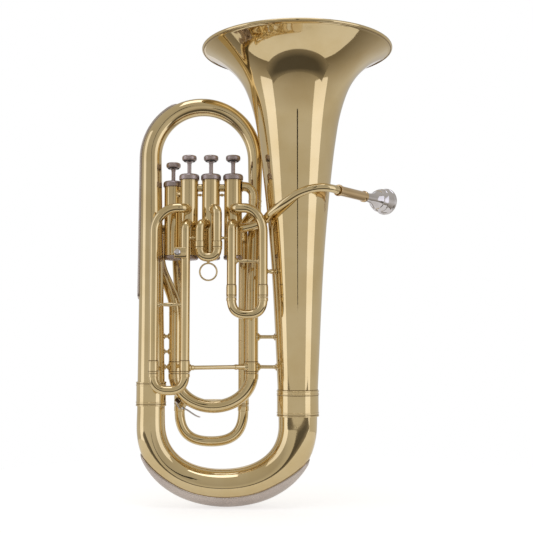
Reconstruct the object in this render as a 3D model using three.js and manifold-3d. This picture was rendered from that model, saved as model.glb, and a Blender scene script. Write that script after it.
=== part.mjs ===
// A four-valve euphonium in millimetres. While it is built, Z runs up the bell's axis, X points to the
// mouthpiece side, and -Y faces the audience. At the end the group is moved so that its origin is the
// middle of its underside.
import * as THREE from "three";
import { mergeVertices } from "three/addons/utils/BufferGeometryUtils.js";
import Module from "manifold-3d";

const wasm = await Module();
wasm.setup();

// ---- Driving dimensions ----------------------------------------------------------------------------

const GAP = 0.3; // clear space between neighbouring pieces
const SOLDER = 0.65; // how far a soldered rod reaches into a tube's wall
const SIDES = 10; // facets round a small tube
const TURN_STEP = 0.4; // most that a tube turns between two rings of vertices

// Bell: outer radius against height, and the ferrules that join the large tubes.
const BELL_OUTLINE = [
  [28.3, 150.4], [31.6, 223], [37.7, 340], [42.1, 398], [50, 478], [56.2, 527], [63.5, 568],
  [75.5, 604.5], [85, 621.5], [96.5, 635.5], [114, 650.2], [137.4, 663.4],
];
const BELL_WALL = 1;
const RIM_WIRE = 2.6;
const BELL_SIDES = 20;
const FERRULE = { low: 129, high: 166, innerLow: 28.8, innerHigh: 29.5, outer: 30.6 };
const FERRULE_SIDES = 24;
const BRANCH_FERRULE = { low: 143.5, high: 178, innerLow: 20.8, innerHigh: 20.8, outer: 21.9 };

// Big bows: centre lines and tapers.
const BOW_TOP = 150;
const BRANCH_JOINT = 160;
const BOW_CENTRE = { right: 0, left: -211.6, low: 28.8, drop: 89, y: 6, fullness: 1.1 };
const BOW_RADII = [[0, 28.2], [0.5, 25.2], [0.93, 20.1], [1, 20]]; // part of the way, radius
const TOP = { left: -215.9, right: -61.4, high: 584.2, drop: 79, leftY: 14, rightY: 26 };
const TOP_RADII = [[0, 19.9], [0.7, 13.3], [1, 9.6]];
const BRANCH_WALL = 0.9;
const GUARD_CLEARANCE = 1.5; // between a bow and the guard plate round it
const RIGHT_JOINT = 445;

// Valves: casing axes and heights.
const VALVES = [
  { x: -93.7, y: -5, low: 359.8, high: 469.8 },
  { x: -125.9, y: -5, low: 359.8, high: 469.8 },
  { x: -157.5, y: -5, low: 359.8, high: 469.8 },
  { x: -182.7, y: 15, low: 361.5, high: 462.7 },
];
const CASING = { radius: 13.2, bore: 9.5 };
const PISTON = { radius: 8.9, below: 8, length: 64, stem: 2.9 };
const BUTTON = { radius: 10.4, height: 10.4, above: 27.6 };
const CAP = { radius: 14.4, height: 9.3, hole: 3.7 };
const BOTTOM_CAP = { radius: 13.7, height: 6.6, vent: 2.4 };
const SPRING = { radius: 6.6, wire: 0.7, turns: 4 };
const LINK = { radius: 5.6, drop: 10.9 };

// Valve slides: leg places, tube sizes and the heights of their sleeves and bows.
const SMALL = { radius: 6.25, bore: 5.4, sleeve: 7.25, leg: 4.85, legBore: 4.05, sleeveLength: 17 };
const MAIN = { radius: 9, bore: 8, sleeve: 9.9, leg: 7.5, legBore: 6.7, sleeveLength: 16 };
const FOURTH = { radius: 7.5, bore: 6.6, sleeve: 8.3, leg: 6.1, legBore: 5.3, sleeveLength: 16 };
const SLIDE_Y = -31;
const THIRD = { left: -204.6, right: -160.3, end: 191.7, legTop: 300, fullness: 1.27 };
const SECOND = {
  left: -140, right: -115.3, end: 370.4, legTop: 394, sleeveLength: 7.5, fullness: 1.2,
};
const FIRST = { left: -94.7, right: -50.1, end: 298.8, legTop: 372, fullness: 1.27 };
const HIGH_PORT = 426;
const LOW_PORT = 404.5;
const MAIN_SLIDE = { left: -178.3, right: -66.5, y: 16, end: 190, low: 141.5, legTop: 262 };
const FOURTH_SLIDE = {
  left: -172.9, right: -79.2, y: 34.3, end: 142, low: 89.5, legTop: 226, fullness: 1.26,
};
const JOINT_GAP = 0.5; // between a slide's shoulder and the sleeve that it stops on

// Corners of the long tubes, each [x, y, z, rounding before, rounding after].
const MAIN_LEFT_ROUTE = [
  [-204, 35, 402, 8.5, 9],
  [-204.5, 37, 350, 18, 20],
  [MAIN_SLIDE.left, MAIN_SLIDE.y, 292, 20, 18],
];
const MAIN_RIGHT_ROUTE = [
  [-62.3, 26.4, 425, 5, 5],
  [MAIN_SLIDE.right, MAIN_SLIDE.y, 285, 20, 20],
];
const FOURTH_LEFT_ROUTE = [
  [-180, 46, 391, 8, 8],
  [-177.9, 43, 340, 12, 12],
  [FOURTH_SLIDE.left, FOURTH_SLIDE.y, 283, 16, 18],
];
const CROOK_PORT = 461; // where the crook leaves the first valve
const CROOK_ROUTE = [
  [-64, -4, CROOK_PORT, 14.5, 14.5],
  [-64, -3, 424, 12, 12],
  [-80.4, 14, 406, 10, 9],
  [FOURTH_SLIDE.right, FOURTH_SLIDE.y, 386, 10, 12],
];

// Heights of the braces.
const BRACE = {
  third: 288, first: 350, firstToBell: 335.5, second: 383, fourth: 148.5, branch: [243.4, 221.2, 199],
  bellUpper: 242.5, bellLower: 199, stay: 199,
};

// Leadpipe, receiver and mouthpiece.
const LEADPIPE_ROUTE = [
  [-79.4, -10.1, 399.2], [-62, -15.2, 403], [-48.6, -19, 409.5], [-38, -35, 418.6], [-20.6, -50, 430.2],
  [-0.8, -57.8, 442.6], [19.2, -61, 449.3], [35, -60.8, 450.8], [47, -56.8, 449.8], [55, -50.9, 448.6],
];
const LEADPIPE_RADII = [[0, 6.2], [1, 5.7]];
const RECEIVER_START = [55.4, -50.4, 448.6];
const PLAYER_WAY = [0.643, 0.7655, -0.024];
const RECEIVER = { length: 67.6, radius: 7.1, ring: 8.2, bore: 6.1 };
const SHANK_IN = 21; // how deep the mouthpiece's shank sits in the receiver

// Pull ring, water key and lyre holder; the key's points are [x, z] in the main slide's plane.
const RING = { radius: 12.1, wire: 1.2, centre: 334.6, stub: 2.2 };
const KEY = { pivot: [-166.6, 139.6], seat: [-172.4, 151.6], tip: [-141, 126.6], pin: 1.1, barrel: 2.3 };
const KEY_BARREL_HALF = 1.5;
const KEY_EAR = { radius: 2.6, thickness: 1.4, offset: 5 };
const KEY_OUT = [-0.718, 0, -0.696]; // the way the cork lifts off its seat
const LYRE = { low: [-175, -46.5, 353.5], high: [-157.5, -37.7, 368], screw: [-169.8, 360.8], hole: 1.8 };
const LYRE_SOCKET = { low: [-172.8, -44.6, 352], high: [-166.8, -39.3, 369] };

// ---- Helpers ---------------------------------------------------------------------------------------

const vector = (point) => new THREE.Vector3(...point);

const FINISHES = {
  lacquered_brass: { color: 0xdcc68c, roughness: 0.16, metalness: 1 },
  nickel: { color: 0x8d837c, roughness: 0.32, metalness: 1 },
  nickel_silver: { color: 0xa69a90, roughness: 0.3, metalness: 1 },
  silver_plate: { color: 0xd9d4d4, roughness: 0.12, metalness: 1 },
  spring_steel: { color: 0x9a9a9c, roughness: 0.35, metalness: 1 },
  cork: { color: 0x4a2a1c, roughness: 0.9, metalness: 0 },
};

const euphonium = new THREE.Group();

function addPiece(name, geometry, finish) {
  const mesh = new THREE.Mesh(geometry, new THREE.MeshStandardMaterial(FINISHES[finish]));
  mesh.name = name;
  euphonium.add(mesh);
}

// A closed geometry as a manifold solid, and back again.
function solid(geometry) {
  const bare = geometry.clone();
  bare.deleteAttribute("normal");
  bare.deleteAttribute("uv");
  const merged = mergeVertices(bare, 1e-3);
  const index = new Uint32Array(merged.index.array);
  return new wasm.Manifold(
    new wasm.Mesh({ numProp: 3, vertProperties: merged.attributes.position.array, triVerts: index }),
  );
}

function surface(manifold) {
  const mesh = manifold.getMesh();
  const geometry = new THREE.BufferGeometry();
  geometry.setAttribute("position", new THREE.BufferAttribute(mesh.vertProperties, 3));
  geometry.setIndex(new THREE.BufferAttribute(mesh.triVerts, 1));
  geometry.computeVertexNormals();
  return geometry;
}

const join = (...geometries) => surface(geometries.map(solid).reduce((all, next) => all.add(next)));
const cut = (geometry, ...tools) =>
  surface(tools.map(solid).reduce((rest, tool) => rest.subtract(tool), solid(geometry)));

// Turned on a vertical axis from [radius, height] points; a profile that leaves the axis closes on itself.
function turned(profile, sides = 16) {
  const closed = profile[0][0] > 0 ? [...profile, profile[0]] : profile;
  const points = closed.map(([radius, height]) => new THREE.Vector2(radius, height));
  return new THREE.LatheGeometry(points, sides).rotateX(Math.PI / 2);
}

// The same, with its axis run from one point towards another.
function turnedAlong(profile, from, way, sides) {
  const up = new THREE.Vector3(0, 0, 1);
  const swing = new THREE.Quaternion().setFromUnitVectors(up, vector(way).normalize());
  return turned(profile, sides).applyQuaternion(swing).translate(...from);
}

// A centre line through corners [x, y, z, before, after, fullness], each rounded from `before` to `after`
// its point. A fullness above 1 makes the rounding squarer.
// Its stations are the distances along it where a tube needs a ring of vertices.
function centreLine(corners) {
  const path = new THREE.CurvePath();
  const stations = [0];
  let length = 0;
  const add = (curve, steps) => {
    const own = curve.getLength();
    path.add(curve);
    for (let step = 1; step <= steps; step += 1) stations.push(length + (own * step) / steps);
    length += own;
  };
  let from = vector(corners[0].slice(0, 3));
  for (let i = 1; i < corners.length - 1; i += 1) {
    const corner = vector(corners[i].slice(0, 3));
    const [before, after, fullness = 1] = corners[i].slice(3);
    const incoming = corner.clone().sub(vector(corners[i - 1].slice(0, 3))).normalize();
    const outgoing = vector(corners[i + 1].slice(0, 3)).sub(corner).normalize();
    const turn = incoming.angleTo(outgoing);
    const pull = (fullness * (4 / 3) * Math.tan(turn / 4)) / Math.tan(turn / 2);
    const start = corner.clone().addScaledVector(incoming, -before);
    const end = corner.clone().addScaledVector(outgoing, after);
    if (from.distanceTo(start) > 0.5) add(new THREE.LineCurve3(from, start), 1);
    const handleIn = start.clone().addScaledVector(incoming, before * pull);
    const handleOut = end.clone().addScaledVector(outgoing, -after * pull);
    add(new THREE.CubicBezierCurve3(start, handleIn, handleOut, end), Math.ceil(turn / TURN_STEP));
    from = end;
  }
  const last = vector(corners[corners.length - 1].slice(0, 3));
  if (from.distanceTo(last) > 0.5) add(new THREE.LineCurve3(from, last), 1);
  return { path, length, stations };
}

// A centre line that flows through its points.
function flowingLine(points, steps) {
  const path = new THREE.CurvePath();
  path.add(new THREE.CatmullRomCurve3(points.map(vector)));
  const length = path.getLength();
  return { path, length, stations: Array.from({ length: steps + 1 }, (_, i) => (length * i) / steps) };
}

// Bends a geometry whose own Y axis is distance along the line. `swell` scales it across the line.
function bend(geometry, line, swell = () => 1) {
  const position = geometry.attributes.position;
  const places = new Set(Array.from({ length: position.count }, (_, i) => position.getY(i)));
  const frames = new Map();
  let tangent = line.path.getTangent(0);
  const normal = Math.abs(tangent.y) > 0.8 ? new THREE.Vector3(1, 0, 0) : new THREE.Vector3(0, 1, 0);
  for (const place of [...places].sort((a, b) => a - b)) {
    const along = Math.min(1, Math.max(0, place / line.length));
    const next = line.path.getTangent(along);
    normal.applyQuaternion(new THREE.Quaternion().setFromUnitVectors(tangent, next));
    normal.addScaledVector(next, -normal.dot(next)).normalize();
    tangent = next;
    const across = normal.clone().cross(tangent);
    frames.set(place, { point: line.path.getPoint(along), normal: normal.clone(), across });
  }
  for (let i = 0; i < position.count; i += 1) {
    const { point, normal: side, across } = frames.get(position.getY(i));
    const size = swell(position.getY(i));
    const moved = point
      .clone()
      .addScaledVector(side, position.getX(i) * size)
      .addScaledVector(across, position.getZ(i) * size);
    position.setXYZ(i, moved.x, moved.y, moved.z);
  }
  geometry.computeVertexNormals();
  return geometry;
}

// The radius at a distance along an outline of [distance, radius] points.
function radiusAt(outline, distance) {
  for (let i = 1; i < outline.length; i += 1) {
    const [start, first] = outline[i - 1];
    const [end, second] = outline[i];
    const part = (distance - start) / (end - start);
    if (distance <= end && end > start) return first + (second - first) * part;
  }
  return outline[outline.length - 1][1];
}

function withStations(outline, stations) {
  const added = stations.filter((place) => outline.every(([known]) => Math.abs(known - place) > 0.5));
  const extra = added.map((place) => [place, radiusAt(outline, place)]);
  return [...outline, ...extra].sort((a, b) => a[0] - b[0]);
}

// A hollow tube, open at both ends, with outlines of [distance, radius] for its outside and its bore.
function tube(line, outside, bore, sides = SIDES) {
  const outer = withStations(outside, line.stations);
  const inner = withStations(bore, line.stations).reverse();
  const profile = [...outer, ...inner, outer[0]];
  const points = profile.map(([distance, radius]) => new THREE.Vector2(radius, distance));
  return bend(new THREE.LatheGeometry(points, sides), line);
}

const even = (line, radius) => [[0, radius], [line.length, radius]];
const tapered = (line, radii) => radii.map(([part, radius]) => [part * line.length, radius]);

// A solid post between two tube axes, its ends at the given distances from them. Its profile is
// [part of its length, radius].
function post(from, standoff, to, endStandoff, profile, sides = 6) {
  const way = vector(to).sub(vector(from));
  const length = way.length() - standoff - endStandoff;
  const start = vector(from).addScaledVector(way.clone().normalize(), standoff);
  const outline = profile.map(([part, radius]) => [radius, part * length]);
  return turnedAlong([[0, 0], ...outline, [0, length]], start.toArray(), way.toArray(), sides);
}

const PLAIN = (radius) => [[0, radius], [1, radius]];
const BALUSTER = [[0, 3.2], [0.16, 3.2], [0.24, 1.9], [0.76, 1.9], [0.84, 3.2], [1, 3.2]];
const LENS = [[0, 3], [0.2, 1.6], [0.5, 2.6], [0.8, 1.6], [1, 3]];
const FOOTED = [[0, 4.4], [0.12, 4.4], [0.2, 2.4], [0.8, 2.4], [0.88, 4.4], [1, 4.4]];
const STAY = [[0, 4.2], [0.03, 4.2], [0.06, 2.8], [0.72, 2.8], [0.74, 3.9], [1, 3.9]];

const box = (low, high) => {
  const size = high.map((value, i) => value - low[i]);
  return new THREE.BoxGeometry(...size).translate(...low.map((value, i) => value + size[i] / 2));
};

// ---- Bell and large bows ---------------------------------------------------------------------------

function bell() {
  const inside = BELL_OUTLINE.map(([radius, height]) => [radius - BELL_WALL, height]).reverse();
  const [rim, top] = BELL_OUTLINE[BELL_OUTLINE.length - 1];
  const wire = [-50, -5, 40, 85, 130].map((degrees) => {
    const angle = THREE.MathUtils.degToRad(degrees);
    return [rim + RIM_WIRE * Math.cos(angle), top + RIM_WIRE * (0.4 + Math.sin(angle))];
  });
  const flare = BELL_OUTLINE.slice(0, -1);
  return turned([...flare, ...wire, ...inside.slice(1)], BELL_SIDES);
}

const bellRadius = (height) => radiusAt(BELL_OUTLINE.map(([radius, z]) => [z, radius]), height);

// A plain sleeve over the joint of two large tubes.
function ferrule({ low, high, outer, innerLow, innerHigh }) {
  return turned([[outer, low], [outer, high], [innerHigh, high], [innerLow, low]], FERRULE_SIDES);
}

const bowSpan = BOW_CENTRE.right - BOW_CENTRE.left;
const bowLine = centreLine([
  [BOW_CENTRE.right, 0, BOW_TOP],
  [BOW_CENTRE.right, 1, BOW_CENTRE.low, BOW_CENTRE.drop, bowSpan / 2, BOW_CENTRE.fullness],
  [BOW_CENTRE.left, 5, BOW_CENTRE.low, bowSpan / 2, BOW_CENTRE.drop, BOW_CENTRE.fullness],
  [BOW_CENTRE.left, BOW_CENTRE.y, BRANCH_JOINT],
]);
const bowOutline = tapered(bowLine, BOW_RADII);

const topSpan = TOP.right - TOP.left;
const topLine = centreLine([
  [BOW_CENTRE.left, BOW_CENTRE.y, BRANCH_JOINT + GAP],
  [TOP.left, TOP.leftY, TOP.high, TOP.drop, topSpan / 2],
  [TOP.right, TOP.rightY, TOP.high, topSpan / 2, TOP.drop],
  [TOP.right - 0.8, TOP.rightY + 0.5, RIGHT_JOINT],
]);
const topOutline = tapered(topLine, TOP_RADII);
const thinner = (outline, wall) => outline.map(([distance, radius]) => [distance, radius - wall]);

// A curved plate on the outer side of a bow, from one distance along it to another.
function guard(line, outline, from, to, thickness, halfAngle) {
  const places = [from, ...line.stations.filter((place) => place > from + 4 && place < to - 4), to];
  const section = new THREE.Shape();
  const middle = Math.PI / 2;
  section.absarc(0, 0, 1, middle - halfAngle, middle + halfAngle, false);
  section.absarc(0, 0, 1 + thickness, middle + halfAngle, middle - halfAngle, true);
  section.closePath();
  const steps = places.length - 1;
  const settings = { depth: steps, steps, bevelEnabled: false, curveSegments: 4 };
  const plate = new THREE.ExtrudeGeometry(section, settings).rotateX(-Math.PI / 2);
  const position = plate.attributes.position;
  for (let i = 0; i < position.count; i += 1) position.setY(i, places[Math.round(position.getY(i))]);
  return bend(plate, line, (distance) => radiusAt(outline, distance) + GUARD_CLEARANCE);
}

addPiece("bell", bell(), "lacquered_brass");
addPiece("bell_ferrule", ferrule(FERRULE), "lacquered_brass");
addPiece("bottom_bow", tube(bowLine, bowOutline, thinner(bowOutline, BRANCH_WALL), 16), "lacquered_brass");
const guardStart = bowLine.length * 0.185;
const guardEnd = bowLine.length * 0.8;
addPiece("bottom_bow_guard", guard(bowLine, bowOutline, guardStart, guardEnd, 0.056, 1.12), "nickel_silver");
const ferruleTilt = (TOP.left - BOW_CENTRE.left) / (TOP.high - BRANCH_JOINT);
addPiece(
  "branch_ferrule",
  ferrule(BRANCH_FERRULE).translate(BOW_CENTRE.left + ferruleTilt, BOW_CENTRE.y, 0),
  "lacquered_brass",
);
addPiece("top_branch", tube(topLine, topOutline, thinner(topOutline, BRANCH_WALL), 14), "lacquered_brass");
addPiece(
  "top_branch_guard",
  guard(topLine, topOutline, 137, topLine.length * 0.665, 0.078, 0.36),
  "nickel_silver",
);

// ---- Valves ----------------------------------------------------------------------------------------

class Coil extends THREE.Curve {
  constructor(radius, turns, low, high) {
    super();
    Object.assign(this, { radius, turns, low, high });
  }

  getPoint(t) {
    const angle = 2 * Math.PI * this.turns * t;
    const height = this.low + (this.high - this.low) * t;
    return new THREE.Vector3(this.radius * Math.cos(angle), this.radius * Math.sin(angle), height);
  }
}

function coil(radius, wire, turns, low, high) {
  const section = new THREE.Shape().absarc(0, 0, wire, 0, 2 * Math.PI, false);
  const extrudePath = new Coil(radius, turns, low + wire, high - wire);
  const settings = { extrudePath, steps: turns * 7, bevelEnabled: false, curveSegments: 2 };
  return new THREE.ExtrudeGeometry(section, settings);
}

VALVES.forEach(({ x, y, low, high }, i) => {
  const number = i + 1;
  const capTop = high + GAP + CAP.height;
  const pistonTop = high - PISTON.below;
  const pistonLow = pistonTop - PISTON.length;
  const buttonLow = high + BUTTON.above;
  const stemTop = buttonLow - GAP;
  const place = (geometry) => geometry.translate(x, y, 0);
  const casing = [[CASING.bore, low], [CASING.radius, low], [CASING.radius, high], [CASING.bore, high]];
  const cap = [
    [CAP.hole, high + GAP], [CAP.radius, high + GAP], [CAP.radius, capTop - 2.4], [CAP.radius - 3, capTop],
    [CAP.hole, capTop],
  ];
  const bottomCapLow = low - GAP - BOTTOM_CAP.height;
  const bottomCap = [
    [BOTTOM_CAP.vent, bottomCapLow], [BOTTOM_CAP.radius - 1.6, bottomCapLow],
    [BOTTOM_CAP.radius, bottomCapLow + 1.6], [BOTTOM_CAP.radius, low - GAP], [BOTTOM_CAP.vent, low - GAP],
  ];
  const piston = [
    [0, pistonLow], [PISTON.radius, pistonLow], [PISTON.radius, pistonTop], [PISTON.stem, pistonTop],
    [PISTON.stem, stemTop], [0, stemTop],
  ];
  const button = [
    [0, buttonLow], [6, buttonLow], [BUTTON.radius, buttonLow + 4], [BUTTON.radius, buttonLow + 8],
    [8.6, buttonLow + BUTTON.height], [0, buttonLow + BUTTON.height],
  ];
  addPiece(`valve_casing_${number}`, place(turned(casing)), "lacquered_brass");
  addPiece(`top_cap_${number}`, place(turned(cap)), "nickel");
  addPiece(`bottom_cap_${number}`, place(turned(bottomCap)), "nickel");
  addPiece(`piston_${number}`, place(turned(piston)), "nickel");
  addPiece(`finger_button_${number}`, place(turned(button)), "nickel");
  const spring = coil(SPRING.radius, SPRING.wire, SPRING.turns, low + GAP, pistonLow - GAP);
  addPiece(`valve_spring_${number}`, place(spring), "spring_steel");
});

// Short tubes from each casing to the next.
for (let i = 0; i < VALVES.length - 1; i += 1) {
  const [first, second] = [VALVES[i], VALVES[i + 1]];
  const height = Math.min(first.high, second.high) - LINK.drop;
  const standoff = CASING.radius + GAP;
  const from = [first.x, first.y, height];
  const to = [second.x, second.y, height];
  const link = post(from, standoff, to, standoff, PLAIN(LINK.radius));
  addPiece(`casing_link_${i + 1}_${i + 2}`, link, "lacquered_brass");
}

// ---- Valve slides ----------------------------------------------------------------------------------

// A point level with a port, just off the casing's surface, on the side that faces a leg.
function portPoint(valve, legX, legY, height) {
  const way = new THREE.Vector2(legX - valve.x, legY - valve.y).normalize();
  const reach = CASING.radius + GAP + 0.1;
  return [valve.x + way.x * reach, valve.y + way.y * reach, height];
}

// The outside of a fixed slide tube: plain, then a thicker sleeve at its open end.
function sleeved(line, size, sleeveLength = size.sleeveLength) {
  const step = line.length - sleeveLength;
  return [[0, size.radius], [step, size.radius], [step, size.sleeve], [line.length, size.sleeve]];
}

function fixedTube(corners, size, sleeveLength) {
  const line = centreLine(corners);
  return tube(line, sleeved(line, size, sleeveLength), even(line, size.bore));
}

// The moving part of a slide: two thin legs joined by a bow that fills the space between them.
function slideBow({ left, right, end, legTop, low, fullness }, y, size) {
  const half = (right - left) / 2;
  const shoulder = end - JOINT_GAP;
  const bottom = low ?? shoulder - half - 2;
  const drop = Math.min(shoulder - bottom - 1.5, half * 0.87 + 4);
  const line = centreLine([
    [left, y, legTop],
    [left, y, bottom, drop, half, fullness],
    [right, y, bottom, half, drop, fullness],
    [right, y, legTop],
  ]);
  const leg = legTop - shoulder;
  const outside = [
    [0, size.leg], [leg, size.leg], [leg, size.radius], [line.length - leg, size.radius],
    [line.length - leg, size.leg], [line.length, size.leg],
  ];
  return tube(line, outside, even(line, size.legBore));
}

function thirdSlideTubes() {
  const valve = VALVES[2];
  const { left, right, end } = THIRD;
  const knuckle = right - 2;
  const leftTube = fixedTube(
    [
      portPoint(valve, knuckle, SLIDE_Y, HIGH_PORT),
      [knuckle, SLIDE_Y, HIGH_PORT, 8, 8],
      [left, SLIDE_Y, HIGH_PORT, 33, 34],
      [left, SLIDE_Y, end],
    ],
    SMALL,
  );
  const rightTube = fixedTube(
    [portPoint(valve, right, SLIDE_Y, LOW_PORT), [right, SLIDE_Y, LOW_PORT, 10, 12], [right, SLIDE_Y, end]],
    SMALL,
  );
  const stand = SMALL.radius - SOLDER;
  const brace = post([left, SLIDE_Y, BRACE.third], stand, [right, SLIDE_Y, BRACE.third], stand, LENS);
  return join(leftTube, rightTube, brace);
}

function firstSlideTubes() {
  const valve = VALVES[0];
  const { left, right, end } = FIRST;
  const knuckle = left + 5;
  const stand = SMALL.radius - SOLDER;
  const leftTube = fixedTube(
    [portPoint(valve, left, SLIDE_Y, LOW_PORT), [left, SLIDE_Y, LOW_PORT, 10, 12], [left, SLIDE_Y, end]],
    SMALL,
  );
  const rightTube = fixedTube(
    [
      portPoint(valve, knuckle, SLIDE_Y, HIGH_PORT),
      [knuckle, SLIDE_Y, HIGH_PORT, 8, 8],
      [right, SLIDE_Y, HIGH_PORT, 27, 34],
      [right, SLIDE_Y, end],
    ],
    SMALL,
  );
  const brace = post([left, SLIDE_Y, BRACE.first], stand, [right, SLIDE_Y, BRACE.first], stand, LENS);
  const height = BRACE.firstToBell;
  const clearOfBell = bellRadius(height) + 2 * GAP;
  const toBell = post([right, SLIDE_Y, height], stand, [0, 0, height], clearOfBell, BALUSTER);
  return join(leftTube, rightTube, brace, toBell);
}

// One of the second slide's two tubes, with the small brace that ties it to its neighbour's leg.
function secondSlideTube(x, height, neighbour) {
  const valve = VALVES[1];
  const port = portPoint(valve, x, SLIDE_Y, height);
  const corners = [port, [x, SLIDE_Y, height, 9.5, 11], [x, SLIDE_Y, SECOND.end]];
  const leg = fixedTube(corners, SMALL, SECOND.sleeveLength);
  const from = [x, SLIDE_Y, BRACE.second];
  const to = [neighbour, SLIDE_Y, BRACE.second];
  return join(leg, post(from, SMALL.radius - SOLDER, to, SMALL.radius + GAP, PLAIN(1.7)));
}

addPiece("third_slide_tubes", thirdSlideTubes(), "lacquered_brass");
addPiece("third_slide_bow", slideBow(THIRD, SLIDE_Y, SMALL), "lacquered_brass");
addPiece("second_slide_left_tube", secondSlideTube(SECOND.left, LOW_PORT, THIRD.right), "lacquered_brass");
addPiece("second_slide_right_tube", secondSlideTube(SECOND.right, HIGH_PORT, FIRST.left), "lacquered_brass");
addPiece("second_slide_bow", slideBow(SECOND, SLIDE_Y, SMALL), "lacquered_brass");
addPiece("first_slide_tubes", firstSlideTubes(), "lacquered_brass");
addPiece("first_slide_bow", slideBow(FIRST, SLIDE_Y, SMALL), "lacquered_brass");

// The second slide's pull ring, on a stub below its bow.
function pullRing() {
  const x = (SECOND.left + SECOND.right) / 2;
  const half = (SECOND.right - SECOND.left) / 2;
  const bowBottom = SECOND.end - JOINT_GAP - half - 2 - SMALL.radius;
  const ring = new THREE.TorusGeometry(RING.radius, RING.wire, 6, 20);
  ring.rotateX(Math.PI / 2).translate(x, SLIDE_Y, RING.centre);
  const stubTop = bowBottom - GAP;
  const stubLow = RING.centre + RING.radius;
  const stub = turned([[0, stubLow], [RING.stub, stubLow], [RING.stub, stubTop], [0, stubTop]], 8);
  return join(ring, stub.translate(x, SLIDE_Y, 0));
}
addPiece("second_slide_pull_ring", pullRing(), "lacquered_brass");

// ---- Main tuning slide and fourth slide ------------------------------------------------------------

const branchXAt = (height) => BOW_CENTRE.left + ferruleTilt * (height - BRANCH_JOINT);
const branchRadius = (height) => radiusAt(topOutline, height - BRANCH_JOINT);

function mainSlideLeftTube() {
  const valve = VALVES[3];
  const { left, y, end } = MAIN_SLIDE;
  const line = centreLine([portPoint(valve, ...MAIN_LEFT_ROUTE[0]), ...MAIN_LEFT_ROUTE, [left, y, end]]);
  const neck = 62;
  const step = line.length - MAIN.sleeveLength;
  const bandStart = line.length - 86;
  const bandEnd = line.length - 83;
  const outside = [
    [0, 6.9], [neck, 7.6], [line.length - 100, 8.7], [bandStart, MAIN.radius], [bandStart, MAIN.sleeve],
    [bandEnd, MAIN.sleeve], [bandEnd, MAIN.radius], [step, MAIN.radius], [step, MAIN.sleeve],
    [line.length, MAIN.sleeve],
  ];
  const bore = [[0, 5.9], [neck, 6.6], [bandStart, MAIN.bore], [line.length, MAIN.bore]];
  const braces = BRACE.branch.map((height, i) => {
    const branch = [branchXAt(height), BOW_CENTRE.y + 1, height];
    const near = (height < end + MAIN.sleeveLength ? MAIN.sleeve : MAIN.radius) - SOLDER;
    const far = branchRadius(height) + GAP + 0.2;
    return post([left, y, height], near, branch, far, i === 1 ? LENS : BALUSTER);
  });
  return join(tube(line, outside, bore), ...braces);
}

function mainSlideRightTube() {
  const { right, y, end } = MAIN_SLIDE;
  const start = [TOP.right - 0.8, TOP.rightY + 0.5, RIGHT_JOINT - GAP];
  const line = centreLine([start, ...MAIN_RIGHT_ROUTE, [right, y, end]]);
  const collar = { length: 6, radius: 10.4 };
  const taper = 160;
  const step = line.length - MAIN.sleeveLength;
  const outside = [
    [0, collar.radius], [collar.length, collar.radius], [collar.length, 9.5], [taper, MAIN.radius],
    [step, MAIN.radius], [step, MAIN.sleeve], [line.length, MAIN.sleeve],
  ];
  return tube(line, outside, [[0, 8.6], [taper, MAIN.bore], [line.length, MAIN.bore]]);
}

function fourthSlideTubes() {
  const valve = VALVES[3];
  const { left, right, y, end } = FOURTH_SLIDE;
  const stand = FOURTH.sleeve - SOLDER;
  const port = portPoint(valve, ...FOURTH_LEFT_ROUTE[0]);
  const leftTube = fixedTube([port, ...FOURTH_LEFT_ROUTE, [left, y, end]], FOURTH);
  const crookStart = [VALVES[0].x + CASING.radius + GAP + 0.1, VALVES[0].y, CROOK_PORT];
  const crook = centreLine([crookStart, ...CROOK_ROUTE, [right, y, end]]);
  const [neck, full] = [60, 130];
  const step = crook.length - FOURTH.sleeveLength;
  const outside = [
    [0, 6.9], [neck, 6.4], [full, FOURTH.radius], [step, FOURTH.radius], [step, FOURTH.sleeve],
    [crook.length, FOURTH.sleeve],
  ];
  const bore = [[0, 5.8], [neck, 5.5], [full, FOURTH.bore], [crook.length, FOURTH.bore]];
  const rightTube = tube(crook, outside, bore);
  const brace = post([left, y, BRACE.fourth], stand, [right, y, BRACE.fourth], stand, PLAIN(2.6));
  return join(leftTube, rightTube, brace);
}

addPiece("main_slide_left_tube", mainSlideLeftTube(), "lacquered_brass");
addPiece("main_slide_right_tube", mainSlideRightTube(), "lacquered_brass");
addPiece("fourth_slide_tubes", fourthSlideTubes(), "lacquered_brass");
addPiece("fourth_slide_bow", slideBow(FOURTH_SLIDE, FOURTH_SLIDE.y, FOURTH), "lacquered_brass");

// ---- Water key -------------------------------------------------------------------------------------

// The key lies in the main slide's plane and swings on a pin across it.
const [pivotX, pivotZ] = KEY.pivot;
const corkSeat = [KEY.seat[0], MAIN_SLIDE.y, KEY.seat[1]];
const pinHole = () => across(KEY.pin + 0.25, 8);
const seated = (radius, from, to) =>
  turnedAlong([[0, from], [radius, from], [radius, to], [0, to]], corkSeat, KEY_OUT, 14);

// A disc or a barrel on the pivot's axis.
function across(radius, halfWidth, offset = 0) {
  const cylinder = new THREE.CylinderGeometry(radius, radius, 2 * halfWidth, 12);
  return cylinder.translate(pivotX, MAIN_SLIDE.y + offset, pivotZ);
}

// A flat strip in the slide's plane, from one [x, z] point to another.
function bar(from, to, thickness, width) {
  const reach = Math.hypot(to[0] - from[0], to[1] - from[1]);
  const angle = Math.atan2(to[1] - from[1], to[0] - from[0]);
  return new THREE.BoxGeometry(reach, width, thickness)
    .rotateY(-angle)
    .translate((from[0] + to[0]) / 2, MAIN_SLIDE.y, (from[1] + to[1]) / 2);
}

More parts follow.
